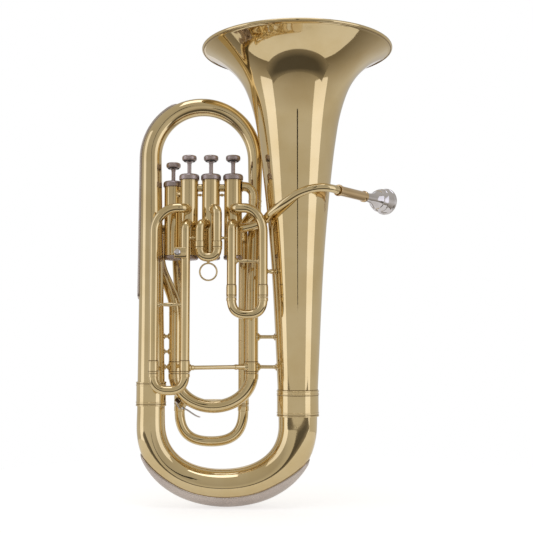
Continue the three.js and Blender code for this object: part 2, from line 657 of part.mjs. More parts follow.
// An ear that carries one end of the pin, with a foot that reaches into the slide's bow.
function ear(side) {
  const y = side * KEY_EAR.offset;
  const foot = new THREE.BoxGeometry(4.6, KEY_EAR.thickness, 8).rotateY(0.62);
  foot.translate(pivotX + 2.2, MAIN_SLIDE.y + y, pivotZ + 3.2);
  return join(across(KEY_EAR.radius, KEY_EAR.thickness / 2, y), foot);
}

function mainSlideBow() {
  const bow = slideBow(MAIN_SLIDE, MAIN_SLIDE.y, MAIN);
  return cut(join(bow, seated(3, -3, 0), ear(-1), ear(1)), pinHole());
}

function waterKeyLever() {
  const [tipX, tipZ] = KEY.tip;
  const elbow = [KEY.seat[0] - 3.2, KEY.seat[1] - 4.2];
  const knee = [tipX - 8, tipZ + 2.6];
  const arm = bar(elbow, [pivotX - 0.6, pivotZ - 0.4], 1.8, 3);
  const handle = bar([pivotX, pivotZ], knee, 1.8, 3);
  const tip = bar(knee, KEY.tip, 1.5, 7);
  return cut(join(seated(4.6, 4.2, 6), arm, across(KEY.barrel, KEY_BARREL_HALF), handle, tip), pinHole());
}

function waterKeySpring() {
  const inner = KEY_BARREL_HALF + 0.2;
  const outer = KEY_EAR.offset - KEY_EAR.thickness / 2 - 0.2;
  const spring = coil(1.85, 0.28, 2, inner, outer).rotateX(-Math.PI / 2);
  return spring.translate(pivotX, MAIN_SLIDE.y, pivotZ);
}

addPiece("main_slide_bow", mainSlideBow(), "lacquered_brass");
addPiece("water_key_lever", waterKeyLever(), "silver_plate");
addPiece("water_key_cork", seated(4.2, 0.4, 3.8), "cork");
addPiece("water_key_pin", across(KEY.pin, KEY_EAR.offset + KEY_EAR.thickness), "silver_plate");
addPiece("water_key_spring", waterKeySpring(), "spring_steel");

// ---- Braces ----------------------------------------------------------------------------------------

function bellBrace(height, tubeRadius) {
  const from = [MAIN_SLIDE.right, MAIN_SLIDE.y, height];
  return post(from, tubeRadius + GAP, [0, 0, height], bellRadius(height) + GAP, FOOTED);
}

addPiece("bell_brace_upper", bellBrace(BRACE.bellUpper, MAIN.radius), "lacquered_brass");
addPiece("bell_brace_lower", bellBrace(BRACE.bellLower, MAIN.sleeve), "lacquered_brass");

function longStay() {
  const from = [THIRD.right, SLIDE_Y, BRACE.stay];
  const to = [MAIN_SLIDE.right, MAIN_SLIDE.y, BRACE.stay];
  return post(from, SMALL.sleeve + GAP, to, MAIN.sleeve + GAP, STAY);
}

addPiece("long_stay", longStay(), "lacquered_brass");

// ---- Leadpipe, receiver and mouthpiece -------------------------------------------------------------

const leadLine = flowingLine(LEADPIPE_ROUTE, 16);
const leadOutline = tapered(leadLine, LEADPIPE_RADII);
addPiece("leadpipe", tube(leadLine, leadOutline, thinner(leadOutline, 1)), "lacquered_brass");

const receiver = [
  [RECEIVER.bore, 0.6], [RECEIVER.ring, 0.6], [RECEIVER.ring, 4], [RECEIVER.radius, 5],
  [RECEIVER.radius, RECEIVER.length - 5], [RECEIVER.ring, RECEIVER.length - 4],
  [RECEIVER.ring, RECEIVER.length], [RECEIVER.bore, RECEIVER.length],
];
addPiece("mouthpiece_receiver", turnedAlong(receiver, RECEIVER_START, PLAYER_WAY, 14), "lacquered_brass");

const MOUTHPIECE = [
  [5, 0], [5.5, SHANK_IN], [6.2, SHANK_IN + 3], [7, SHANK_IN + 15], [9.4, SHANK_IN + 24],
  [13.6, SHANK_IN + 32], [16.6, SHANK_IN + 39], [17.9, SHANK_IN + 47], [18.2, SHANK_IN + 51],
  [19.7, SHANK_IN + 54], [19.7, SHANK_IN + 56.4], [18.2, SHANK_IN + 57.8], [16.4, SHANK_IN + 57.8],
  [13.2, SHANK_IN + 55.6], [12.4, SHANK_IN + 47], [9.6, SHANK_IN + 38], [4, SHANK_IN + 30],
  [3.4, SHANK_IN + 24], [4, 0],
];
const shankEnd = RECEIVER.length - SHANK_IN;
const mouthpieceStart = RECEIVER_START.map((value, i) => value + shankEnd * PLAYER_WAY[i]);
addPiece("mouthpiece", turnedAlong(MOUTHPIECE, mouthpieceStart, PLAYER_WAY, 16), "silver_plate");

// ---- Lyre holder -----------------------------------------------------------------------------------

// A square socket in front of the third slide's right tube, with a clamping screw through its front wall.
function lyreHolder() {
  const [x, z] = LYRE.screw;
  const screwHole = new THREE.CylinderGeometry(LYRE.hole, LYRE.hole, 6, 12).translate(x, LYRE.low[1], z);
  return cut(box(LYRE.low, LYRE.high), box(LYRE_SOCKET.low, LYRE_SOCKET.high), screwHole);
}

function lyreScrew() {
  const [x, z] = LYRE.screw;
  const screw = [[0, 0], [1.4, 0], [1.4, 4.6], [4.7, 4.6], [4.7, 8], [3.6, 9], [0, 9]];
  return turnedAlong(screw, [x, LYRE_SOCKET.low[1] - 0.1, z], [0, -1, 0], 12);
}

addPiece("lyre_holder", lyreHolder(), "lacquered_brass");
addPiece("lyre_screw", lyreScrew(), "silver_plate");

// ---- Origin ----------------------------------------------------------------------------------------

const whole = new THREE.Box3().setFromObject(euphonium);
const middle = whole.getCenter(new THREE.Vector3());
euphonium.children.forEach((mesh) => mesh.geometry.translate(-middle.x, -middle.y, -whole.min.z));

export default euphonium;
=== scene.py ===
"""A four-valve euphonium in lacquered brass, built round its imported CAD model.

Lengths are in millimetres in the drawing's frame, where the bell's axis is x = y = 0 and Z runs up, until
world() turns them into metres in the row's frame.
"""
import math

import bpy
import numpy as np
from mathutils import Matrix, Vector

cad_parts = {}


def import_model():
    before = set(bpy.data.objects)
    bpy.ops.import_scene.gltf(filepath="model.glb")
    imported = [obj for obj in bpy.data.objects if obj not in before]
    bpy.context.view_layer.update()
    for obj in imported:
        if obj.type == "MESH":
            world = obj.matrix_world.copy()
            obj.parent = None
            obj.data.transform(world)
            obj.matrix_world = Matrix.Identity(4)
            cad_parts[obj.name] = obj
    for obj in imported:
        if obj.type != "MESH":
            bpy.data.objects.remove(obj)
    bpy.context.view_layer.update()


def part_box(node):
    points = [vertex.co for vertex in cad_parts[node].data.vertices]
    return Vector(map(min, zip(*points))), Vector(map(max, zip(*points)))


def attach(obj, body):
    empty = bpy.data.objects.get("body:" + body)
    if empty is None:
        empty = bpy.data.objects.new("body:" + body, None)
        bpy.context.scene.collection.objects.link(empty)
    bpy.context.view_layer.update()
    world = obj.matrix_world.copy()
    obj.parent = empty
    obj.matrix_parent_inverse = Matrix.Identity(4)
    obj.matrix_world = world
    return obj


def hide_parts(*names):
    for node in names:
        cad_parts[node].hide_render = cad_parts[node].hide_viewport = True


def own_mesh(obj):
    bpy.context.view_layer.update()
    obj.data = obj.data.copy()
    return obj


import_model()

MM = 0.001
TAU = 2 * math.pi
X_WAY, Y_WAY, Z_WAY = np.eye(3)

# ---- Sizes ----

VALVES = [{"x": x, "y": -5, "low": 359.8, "high": 469.8} for x in (-93.7, -125.9, -157.5)]
VALVES.append({"x": -182.7, "y": 15, "low": 361.5, "high": 462.7})
CASING_RADIUS = 13.2

BELL_OUTLINE = [
    (28.3, 150.4), (29.9, 186), (31.6, 223), (34.3, 280), (37.7, 340), (42.1, 398), (50, 478), (56.2, 527),
    (63.5, 568), (75.5, 604.5), (85, 621.5), (96.5, 635.5), (114, 650.2), (137.4, 663.4),
]
BELL_AXIS = (0, 0)
BELL_WALL = 0.9
RIM_WIRE = 2.6

BOW = {"right": 0, "left": -211.6, "top": 150, "low": 28.8, "drop": 89, "y": 6, "joint": 160, "fullness": 1.1}
BOW_RADII = [(0, 28.2), (0.5, 25.2), (0.93, 20.1), (1, 20)]
TOP = {"left": -215.9, "right": -61.4, "high": 584.2, "drop": 79, "left_y": 14, "right_y": 26, "end": 445}
TOP_RADII = [(0, 19.9), (0.7, 13.3), (1, 9.6)]
SHEET = 0.7

# Slide tubes: the outer tube, its bore, its sleeve, the leg inside it and that leg's bore.
SMALL = {"radius": 6.7, "bore": 5.4, "sleeve": 7.45, "leg": 4.85, "leg_bore": 4.05, "sleeve_length": 17}
MAIN = {"radius": 9.4, "bore": 8, "sleeve": 10, "leg": 7.5, "leg_bore": 6.7, "sleeve_length": 16}
FOURTH = {"radius": 7.5, "bore": 6.6, "sleeve": 8.2, "leg": 6.1, "leg_bore": 5.3, "sleeve_length": 16}
# Slides: the legs' x, the height of the outer tubes' mouths, the inner legs' tops, the bow's lowest point.
FRONT = -31
THIRD_SLIDE = {"left": -204.6, "right": -160.3, "end": 191.7, "leg_top": 300, "y": FRONT, "fullness": 1.27}
SECOND_SLIDE = {"left": -140, "right": -115.3, "end": 370.4, "leg_top": 394, "y": FRONT, "fullness": 1.2}
FIRST_SLIDE = {"left": -94.7, "right": -50.1, "end": 298.8, "leg_top": 372, "y": FRONT, "fullness": 1.27}
MAIN_SLIDE = {
    "left": -178.3, "right": -66.5, "end": 190, "leg_top": 262, "y": 16, "low": 141.5, "fullness": 1,
}
FOURTH_SLIDE = {
    "left": -172.9, "right": -79.2, "end": 142, "leg_top": 226, "y": 34.3, "low": 89.5, "fullness": 1.26,
}
JOINT_GAP = 0.5
HIGH_PORT = 426
LOW_PORT = 404.5

RECEIVER_START = np.array([55.4, -50.4, 448.6])
PLAYER_WAY = np.array([0.643, 0.7655, -0.024])
RECEIVER_LENGTH = 67.6
SHANK_IN = 21


# The drawing's origin in the row's frame: on the bell's axis, and so far below valve 1's casing.
DATUM = np.mean([list(corner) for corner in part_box("bell")], axis=0)
DATUM[2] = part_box("valve_casing_1")[0][2] - VALVES[0]["low"] * MM


def world(points):
    """Millimetres in the drawing's frame as metres in the row's frame."""
    return np.asarray(points, float) * MM + DATUM


# ---- Outlines ----

GENTLE_TURN = 0.16
CORNER_STEPS = 4


def unit(vectors):
    """A vector, or each row of an array, at length 1."""
    return vectors / np.linalg.norm(vectors, axis=-1, keepdims=True)


def turn_between(incoming, outgoing):
    """The angle between two unit vectors."""
    return math.acos(max(-1.0, min(1.0, float(incoming @ outgoing))))


def softened(points, radius, closed=True):
    """The outline with its corners rounded, and a point close to each corner to hold the flats flat."""
    points = [np.array(p, float) for p in points]
    count = len(points)
    rounded = []
    for i, corner in enumerate(points):
        if not closed and i in (0, count - 1):
            rounded.append(corner)
            continue
        back = points[i - 1] - corner
        ahead = points[(i + 1) % count] - corner
        reach_back, reach_ahead = np.linalg.norm(back), np.linalg.norm(ahead)
        if reach_back < 1e-6 or reach_ahead < 1e-6:
            continue
        back, ahead = back / reach_back, ahead / reach_ahead
        turn = math.pi - turn_between(back, ahead)
        if turn < GENTLE_TURN:
            rounded.append(corner)
            continue
        cut = min(radius * math.tan(turn / 2), 0.45 * reach_back, 0.45 * reach_ahead)
        held = cut + min(0.35, 0.3 * cut + 0.05)
        if reach_back > 2.2 * held:
            rounded.append(corner + back * held)
        for t in np.arange(CORNER_STEPS + 1) / CORNER_STEPS:
            way_in = (1 - t) ** 2 * (corner + back * cut)
            rounded.append(way_in + 2 * t * (1 - t) * corner + t * t * (corner + ahead * cut))
        if reach_ahead > 2.2 * held:
            rounded.append(corner + ahead * held)
    return np.array(rounded)


def smooth_curve(points, steps):
    """A Catmull-Rom curve through an open outline's points."""
    p = np.array(points, float)
    p = np.vstack([2 * p[0] - p[1], p, 2 * p[-1] - p[-2]])
    curve = []
    for a, b, c, d in zip(p, p[1:], p[2:], p[3:]):
        gaps = [math.sqrt(np.linalg.norm(v)) for v in (b - a, c - b, d - c)]
        slope_b = ((b - a) / gaps[0] - (c - a) / (gaps[0] + gaps[1]) + (c - b) / gaps[1]) * gaps[1]
        slope_c = ((c - b) / gaps[1] - (d - b) / (gaps[1] + gaps[2]) + (d - c) / gaps[2]) * gaps[1]
        for t in np.arange(steps) / steps:
            t2, t3 = t * t, t ** 3
            curve.append(
                (2 * t3 - 3 * t2 + 1) * b + (t3 - 2 * t2 + t) * slope_b
                + (3 * t2 - 2 * t3) * c + (t3 - t2) * slope_c
            )
    return np.array([*curve, p[-2]])


def radius_at(outline, place):
    places, radii = zip(*sorted(outline))
    return float(np.interp(place, places, radii))


def ringed(outline, rings):
    """An outline of (distance, radius) with raised rings and grooves, each (middle, width, height)."""
    points = list(outline)
    for middle, width, height in rings:
        start, end = middle - width / 2, middle + width / 2
        low, high = radius_at(outline, start), radius_at(outline, end)
        points = [p for p in points if not start <= p[0] <= end]
        points += [(start, low), (start + 1e-4, low + height), (end - 1e-4, high + height), (end, high)]
    return sorted(points, key=lambda p: p[0])


# ---- Centre lines ----

RING_TURN = 0.06
BEZIER_STEPS = 49


def distances(points):
    """How far each point is along the line through them all."""
    return np.concatenate([[0], np.cumsum(np.linalg.norm(np.diff(points, axis=0), axis=1))])


def sampled(wanted, places, rows):
    """Rows between the ones that stand at the given places."""
    return np.column_stack([np.interp(wanted, places, column) for column in rows.T])


class Line:
    """A centre line as points a millimetre apart, with frames that don't twist."""

    def __init__(self, points):
        points = np.array(points, float)
        places = distances(points)
        self.length = places[-1]
        self.places = np.linspace(0, self.length, max(3, int(self.length) + 1))
        self.points = sampled(self.places, places, points)
        self.tangents = unit(np.gradient(self.points, axis=0))
        self.normals = self.transported()
        self.stations = self.bends()

    def transported(self):
        first = self.tangents[0]
        normal = X_WAY if abs(first[1]) > 0.8 else Y_WAY
        normals = []
        for tangent in self.tangents:
            normal = unit(normal - tangent * (normal @ tangent))
            normals.append(normal)
        return np.array(normals)

    def bends(self):
        """The distances along the line where a tube needs a ring of vertices."""
        turns = np.arccos(np.clip(np.sum(self.tangents[1:] * self.tangents[:-1], axis=1), -1, 1))
        chosen, turned, was_bent = [], 0, False
        for place, turn in zip(self.places, turns):
            bent = turn > 1e-4
            turned += turn
            if bent != was_bent or turned > RING_TURN:
                chosen.append(place)
                turned = 0
            was_bent = bent
        return np.array(chosen)

    def at(self, places):
        """Points, normals and the ways across at distances along the line."""
        tangents = unit(sampled(places, self.places, self.tangents))
        normals = sampled(places, self.places, self.normals)
        normals = unit(normals - tangents * np.sum(normals * tangents, axis=1)[:, None])
        return sampled(places, self.places, self.points), normals, np.cross(normals, tangents)


def rounded_line(corners):
    """A line through corners (x, y, z, before, after, fullness), each rounded from `before` to `after` its
    point. A fullness above 1 makes the rounding squarer."""
    corners = [np.array(c, float) for c in corners]
    points = [corners[0][:3]]
    for last, corner, following in zip(corners, corners[1:], corners[2:]):
        place, before, after = corner[:3], corner[3], corner[4]
        incoming, outgoing = unit(place - last[:3]), unit(following[:3] - place)
        turn = turn_between(incoming, outgoing)
        fullness = corner[5] if len(corner) > 5 else 1
        pull = fullness * (4 / 3) * math.tan(turn / 4) / math.tan(turn / 2)
        start, end = place - incoming * before, place + outgoing * after
        first, second = start + incoming * before * pull, end - outgoing * after * pull
        for t in np.linspace(0, 1, BEZIER_STEPS):
            s = 1 - t
            points.append(s ** 3 * start + 3 * s * s * t * first + 3 * s * t * t * second + t ** 3 * end)
    points.append(corners[-1][:3])
    gaps = [1] + [np.linalg.norm(b - a) for a, b in zip(points, points[1:])]
    return Line([p for p, gap in zip(points, gaps) if gap > 1e-3])


# ---- Shells: (vertices, faces) in millimetres ----

STATION_GAP = 0.4
STAY_SIDES = 28
FOOT = 4


def outward(vertices, faces):
    """The shell with its faces turned outwards."""
    volume = 0
    for face in faces:
        a = vertices[face[0]]
        for b, c in zip(face[1:], face[2:]):
            volume += a @ np.cross(vertices[b], vertices[c])
    return (vertices, faces if volume > 0 else [tuple(reversed(face)) for face in faces])


def spokes(sides, first, second):
    """Unit vectors all round, from two ways across or from arrays of them."""
    angles = np.arange(sides) * TAU / sides
    return np.cos(angles)[:, None] * first + np.sin(angles)[:, None] * second


def ring_shell(rings, closed):
    """Joins rings of vertices (rows, sides, 3) into a shell. An open run of rings is capped at both ends."""
    rows, sides = rings.shape[:2]
    vertices = rings.reshape(-1, 3)
    faces = []
    for i in range(rows if closed else rows - 1):
        here, there = i * sides, ((i + 1) % rows) * sides
        for j in range(sides):
            k = (j + 1) % sides
            faces.append((here + j, here + k, there + k, there + j))
    if not closed:
        faces.append(tuple(range(sides - 1, -1, -1)))
        faces.append(tuple((rows - 1) * sides + j for j in range(sides)))
    return outward(vertices, faces)


def swept(line, outline, sides):
    """A closed outline of (distance, radius) carried round a centre line."""
    places, radii = [], []
    for (start, low), (end, high) in zip(outline, np.roll(outline, -1, axis=0)):
        places.append(start)
        radii.append(low)
        nearer, further = min(start, end) + STATION_GAP, max(start, end) - STATION_GAP
        passed = line.stations[(line.stations > nearer) & (line.stations < further)]
        for place in passed if end > start else passed[::-1]:
            places.append(place)
            radii.append(low + (high - low) * (place - start) / (end - start))
    points, normals, across = line.at(places)
    around_line = spokes(sides, normals[:, None], across[:, None])
    return ring_shell(points[:, None] + around_line * np.array(radii)[:, None, None], True)


def tube(line, outside, bore, sides=40, soft=0.35):
    """A hollow tube with softened edges, from outlines of (distance, radius) for its outside and bore."""
    return swept(line, softened([*outside, *reversed(bore)], soft), sides)


def turned(profile, start=(0, 0, 0), way=(0, 0, 1), sides=48, soft=0.35):
    """Turned on an axis from (radius, height) points. A profile that touches the axis is solid."""
    start, way = np.array(start, float), unit(np.array(way, float))
    side = unit(np.cross(way, X_WAY if abs(way[0]) < 0.9 else Y_WAY))
    solid = profile[0][0] == 0
    outline = softened(profile, soft, closed=not solid)
    body = outline[1:-1] if solid else outline
    outwards = spokes(sides, side, np.cross(way, side))
    rings = start + body[:, 1, None, None] * way + body[:, 0, None, None] * outwards
    if solid:
        return pointed(rings, start + outline[0][1] * way, start + outline[-1][1] * way)
    return ring_shell(rings, True)


def pointed(rings, first, last):
    """Rings closed by a fan of faces to a point at each end."""
    rows, sides = rings.shape[:2]
    vertices = np.vstack([rings.reshape(-1, 3), first, last])
    top = (rows - 1) * sides
    faces = []
    for j in range(sides):
        k = (j + 1) % sides
        for row in range(0, top, sides):
            faces.append((row + j, row + k, row + sides + k, row + sides + j))
        faces += [(rows * sides, k, j), (rows * sides + 1, top + j, top + k)]
    return outward(vertices, faces)


def stay(start, start_radius, end, end_radius, profile):
    """A turned rod between two upright tubes' axes, whose feet follow the tubes' round walls.

    The profile is (distance from the nearer tube's wall, radius), mirrored about the rod's middle.
    """
    start, end = np.array(start, float), np.array(end, float)
    way = unit(end - start)
    length = np.linalg.norm(end - start) - start_radius - end_radius
    half = [p for p in profile if p[0] < length / 2]
    outline = [*half, *[(length - place, radius) for place, radius in reversed(half)]]
    outline = softened([(place, radius) for place, radius in outline], 0.5, closed=False)
    up = unit(Z_WAY - way * way[2])
    side = np.cross(way, up)
    rings = []
    for place, radius in outline:
        ring = radius * spokes(STAY_SIDES, up, side)
        off = ring @ side
        walls = (start_radius, end_radius)
        near, far = (wall - np.sqrt(np.maximum(wall ** 2 - off * off, 0)) for wall in walls)
        fade_in, fade_out = max(0, 1 - place / FOOT), max(0, 1 - (length - place) / FOOT)
        along = start_radius + place - near * fade_in + far * fade_out
        rings.append(start + ring + along[:, None] * way)
    rings = np.array(rings)
    return pointed(rings, rings[0].mean(axis=0), rings[-1].mean(axis=0))


def merged(*shells):
    """Several shells as one mesh's vertices and faces."""
    vertices, faces, base = [], [], 0
    for points, polygons in shells:
        vertices.append(np.asarray(points))
        faces += [tuple(base + i for i in polygon) for polygon in polygons]
        base += len(points)
    return np.vstack(vertices), faces


# ---- Materials ----

def new_material(name):
    material = bpy.data.materials.new(name)
    material.use_nodes = True
    nodes, links = material.node_tree.nodes, material.node_tree.links
    return material, nodes, links, nodes["Principled BSDF"]


def own_place(nodes, links, stretch):
    """The piece's own coordinates in metres, stretched by axis."""
    place = nodes.new("ShaderNodeTexCoord")
    mapping = nodes.new("ShaderNodeMapping")
    mapping.inputs["Scale"].default_value = stretch
    links.new(place.outputs["Object"], mapping.inputs["Vector"])
    return mapping.outputs["Vector"]


def grain_noise(nodes, links, scale, detail, stretch=(1, 1, 1)):
    """A noise over the piece's own coordinates, `scale` bumps to the metre."""
    noise = nodes.new("ShaderNodeTexNoise")
    noise.inputs["Scale"].default_value = scale
    noise.inputs["Detail"].default_value = detail
    links.new(own_place(nodes, links, stretch), noise.inputs["Vector"])
    return noise.outputs["Fac"]


def scaled(nodes, links, source, factor, offset):
    """A value times a factor, plus an offset."""
    sum_node = nodes.new("ShaderNodeMath")
    sum_node.operation = "MULTIPLY_ADD"
    sum_node.inputs[1].default_value = factor
    sum_node.inputs[2].default_value = offset
    links.new(source, sum_node.inputs[0])
    return sum_node.outputs[0]


def ramped(nodes, links, source, stops):
    ramp = nodes.new("ShaderNodeValToRGB")
    elements = ramp.color_ramp.elements
    for element, (place, colour) in zip(elements, (stops[0], stops[-1])):
        element.position, element.color = place, (*colour, 1)
    for place, colour in stops[1:-1]:
        elements.new(place).color = (*colour, 1)
    links.new(source, ramp.inputs["Fac"])
    return ramp.outputs["Color"]


def ranged(nodes, links, source, low, high):
    spread = nodes.new("ShaderNodeMapRange")
    spread.inputs["From Min"].default_value = 0.3
    spread.inputs["From Max"].default_value = 0.7
    spread.inputs["To Min"].default_value = low
    spread.inputs["To Max"].default_value = high
    links.new(source, spread.inputs["Value"])
    return spread.outputs["Result"]


def bumped(nodes, links, shader, source, strength, depth):
    bump = nodes.new("ShaderNodeBump")
    bump.inputs["Strength"].default_value = strength
    bump.inputs["Distance"].default_value = depth
    links.new(source, bump.inputs["Height"])
    links.new(bump.outputs["Normal"], shader.inputs["Normal"])


def metal(name, fresh, dull, rough, coat=0.0, brush=(1, 1, 1)):
    """Polished metal: broad clouds of slightly duller tone, fine polishing marks, and a clear coat."""
    material, nodes, links, shader = new_material(name)
    shader.inputs["Metallic"].default_value = 1
    shader.inputs["Coat Weight"].default_value = coat
    shader.inputs["Coat Roughness"].default_value = 0.04
    clouds = grain_noise(nodes, links, 22, 4)
    links.new(ramped(nodes, links, clouds, [(0.3, dull), (0.62, fresh)]), shader.inputs["Base Color"])
    marks = grain_noise(nodes, links, 420, 6, brush)
    links.new(ranged(nodes, links, marks, *rough), shader.inputs["Roughness"])
    bumped(nodes, links, shader, marks, 0.04, 0.0001)
    return material


def grainy(name, settings, grain, colours, bump):
    """A matt material, coloured and raised by its own grain."""
    material, nodes, links, shader = new_material(name)
    for socket, value in settings.items():
        shader.inputs[socket].default_value = value
    noise = grain_noise(nodes, links, *grain)
    links.new(ramped(nodes, links, noise, colours), shader.inputs["Base Color"])
    bumped(nodes, links, shader, noise, *bump)
    return material


CORK_TONES = [(0.35, (0.012, 0.006, 0.003)), (0.5, (0.05, 0.022, 0.01)), (0.68, (0.13, 0.06, 0.026))]
FELT_TONES = [(0.3, (0.008, 0.008, 0.009)), (0.7, (0.035, 0.034, 0.036))]
METALS = {
    "lacquered_brass": ((0.80, 0.64, 0.36), (0.74, 0.57, 0.29), (0.03, 0.07), 0.4),
    "leadpipe_brass": ((0.76, 0.56, 0.32), (0.70, 0.50, 0.26), (0.04, 0.09), 0.4),
    # The seam colour also serves as painted shade on the underside of the bell's rim wire.
    "seam": ((0.34, 0.24, 0.12), (0.22, 0.145, 0.06), (0.3, 0.5)),
    "nickel": ((0.52, 0.44, 0.42), (0.42, 0.35, 0.335), (0.32, 0.44), 0, (1, 1, 6)),
    "nickel_silver": ((0.70, 0.62, 0.56), (0.59, 0.51, 0.46), (0.2, 0.32), 0.2, (1, 4, 1)),
    "silver_plate": ((0.78, 0.75, 0.75), (0.66, 0.63, 0.62), (0.05, 0.12)),
    "spring_steel": ((0.42, 0.42, 0.43), (0.30, 0.30, 0.31), (0.2, 0.35), 0, (1, 1, 5)),
}
MATERIALS = {
    **{name: metal(name, *look) for name, look in METALS.items()},
    "cork": grainy(
        "cork", {"Roughness": 0.85, "Specular IOR Level": 0.25}, (1400, 5), CORK_TONES, (0.6, 0.0004),
    ),
    "felt": grainy(
        "felt", {"Roughness": 1, "Sheen Weight": 0.4}, (2600, 6, (1, 1, 0.3)), FELT_TONES, (0.5, 0.0003),
    ),
}

# ---- Pieces ----

SHARP_ANGLE = 0.9


def added(name, data):
    """A new object in the scene, from its data."""
    made = bpy.data.objects.new(name, data)
    bpy.context.scene.collection.objects.link(made)
    return made


def mesh_object(name, vertices, faces):
    mesh = bpy.data.meshes.new(name)
    mesh.from_pydata(vertices.tolist(), [], faces)
    return added(name, mesh)


def piece(name, body, finish, *shells, nodes=()):
    """One piece from its shells, riding on a body and standing for CAD nodes."""
    vertices, faces = merged(*shells)
    made = mesh_object(name, world(vertices), faces)
    made.data.polygons.foreach_set("use_smooth", [True] * len(faces))
    made.data.set_sharp_from_angle(angle=SHARP_ANGLE)
    made.data.materials.append(MATERIALS[finish])
    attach(made, body)
    if nodes:
        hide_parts(*nodes)
    return made


def brass_piece(name, node, *shells):
    """A lacquered brass piece that is fixed to the horn and stands for one CAD node."""
    piece(name, "horn", "lacquered_brass", *shells, nodes=[node])


# ---- Bell and large bows ----

CURVE_STEPS = 10
BELL_SIDES = 128


def bell():
    """The bell's sheet, rolled round the wire at its rim."""
    outside = smooth_curve(BELL_OUTLINE, CURVE_STEPS)
    rim, top = BELL_OUTLINE[-1]
    wire_middle = top + 0.4 * RIM_WIRE
    wire = [
        (rim + RIM_WIRE * math.cos(a), wire_middle + RIM_WIRE * math.sin(a))
        for a in np.radians(np.arange(-62, 200, 14))
    ]
    slopes = unit(np.gradient(outside, axis=0))
    inside = outside + np.column_stack([-slopes[:, 1], slopes[:, 0]]) * BELL_WALL
    short_of_wire = [tuple(p) for p in inside if p[0] < rim - RIM_WIRE]
    profile = np.array([*outside[:-1], *wire, *reversed(short_of_wire)])
    rings = profile[:, 0, None, None] * spokes(BELL_SIDES, X_WAY, Y_WAY) + profile[:, 1, None, None] * Z_WAY
    return ring_shell(rings, True)


def bell_radius(height):
    return radius_at([(z, r) for r, z in BELL_OUTLINE], height)


def ferrule(low, high, radius, inner_low, inner_high, rings, centre=BELL_AXIS):
    """A sleeve over a joint, with raised rings at the given heights."""
    outside = ringed([(low, radius), (high, radius)], [(z, 1.7, 0.6) for z in rings])
    profile = [(r, z) for z, r in outside] + [(inner_high, high), (inner_low, low)]
    return turned(profile, (*centre, 0), sides=80, soft=0.5)


half_span = (BOW["right"] - BOW["left"]) / 2
bow_line = rounded_line([
    (BOW["right"], 0, BOW["top"]),
    (BOW["right"], 1, BOW["low"], BOW["drop"], half_span, BOW["fullness"]),
    (BOW["left"], 5, BOW["low"], half_span, BOW["drop"], BOW["fullness"]),
    (BOW["left"], BOW["y"], BOW["joint"]),
])
top_half = (TOP["right"] - TOP["left"]) / 2
top_line = rounded_line([
    (BOW["left"], BOW["y"], BOW["joint"] + 0.3),
    (TOP["left"], TOP["left_y"], TOP["high"], TOP["drop"], top_half),
    (TOP["right"], TOP["right_y"], TOP["high"], top_half, TOP["drop"]),
    (TOP["right"] - 0.8, TOP["right_y"] + 0.5, TOP["end"]),
])


def along(line, radii):
    return [(part * line.length, radius) for part, radius in radii]


bow_outline = along(bow_line, BOW_RADII)
top_outline = along(top_line, TOP_RADII)


def large_tube(line, outline, sides):
    outside = [tuple(p) for p in smooth_curve(outline, CURVE_STEPS)]
    return tube(line, outside, [(place, radius - SHEET) for place, radius in outside], sides, 0.3)


def guard(line, outline, start, end, thickness, half_angle, taper):
    """A plate on a bow's outer side with rounded edges, narrowing over `taper` to a point at each end."""
    places = np.concatenate([
        start + taper * np.linspace(0, 1, 22) ** 2,
        np.linspace(start + taper, end - taper, 90)[1:-1],
        end - taper * np.linspace(1, 0, 22) ** 2,
    ])
    points, normals, across = line.at(places)
    rings = []
    for place, point, normal, side in zip(places, points, normals, across):
        from_end = min(place - start, end - place)
        spread = half_angle * math.sqrt(max(1 - (1 - min(from_end / taper, 1)) ** 2, 0.0012))
        inner = radius_at(outline, place) + 0.2
        depth = thickness * min(1, 0.3 + from_end / 8)
        edge = min(depth / 2 / inner, spread / 3)
        section = [(-spread, 0), (-spread + edge, 0)]
        section += [(angle, 0) for angle in np.linspace(-spread + edge * 2, spread - edge * 2, 16)]
        section += [(spread - edge, 0), (spread, 0), (spread, 0.55), (spread - edge * 0.5, 0.9)]
        section += [(angle, 1) for angle in np.linspace(spread - edge * 1.5, -spread + edge * 1.5, 20)]
        section += [(-spread + edge * 0.5, 0.9), (-spread, 0.55)]
        angles, parts = np.array(section).T[:, :, None]
        rings.append(point + (inner + depth * parts) * (normal * np.sin(angles) - side * np.cos(angles)))
    return ring_shell(np.array(rings), False)


tilt = (TOP["left"] - BOW["left"]) / (TOP["high"] - BOW["joint"])


def branch_x(height):
    return BOW["left"] + tilt * (height - BOW["joint"])


bell_sleeve = ferrule(129, 166, 29.95, 28.85, 29.3, [130, 134.2, 160.8, 165])
branch_foot = (BOW["left"] + tilt, BOW["y"])
branch_sleeve = ferrule(143.5, 178, 21.35, 20.75, 20.75, [144.5, 148.7, 173.2, 177], branch_foot)
brass_piece("bell_sheet", "bell", bell())
brass_piece("bell_joint_sleeve", "bell_ferrule", bell_sleeve)
brass_piece("bottom_bow_tube", "bottom_bow", large_tube(bow_line, bow_outline, 72))
piece(
    "bottom_bow_plate", "horn", "nickel_silver",
    guard(bow_line, bow_outline, bow_line.length * 0.185, bow_line.length * 0.8, 2.5, 1.12, 60),
    nodes=["bottom_bow_guard"],
)
brass_piece("branch_joint_sleeve", "branch_ferrule", branch_sleeve)
brass_piece("top_bow_tube", "top_branch", large_tube(top_line, top_outline, 64))
piece(
    "top_bow_strip", "horn", "nickel_silver",
    guard(top_line, top_outline, 137, top_line.length * 0.665, 2.4, 0.36, 14), nodes=["top_branch_guard"],
)

# ---- Valves ----

WIRE_SIDES = 10


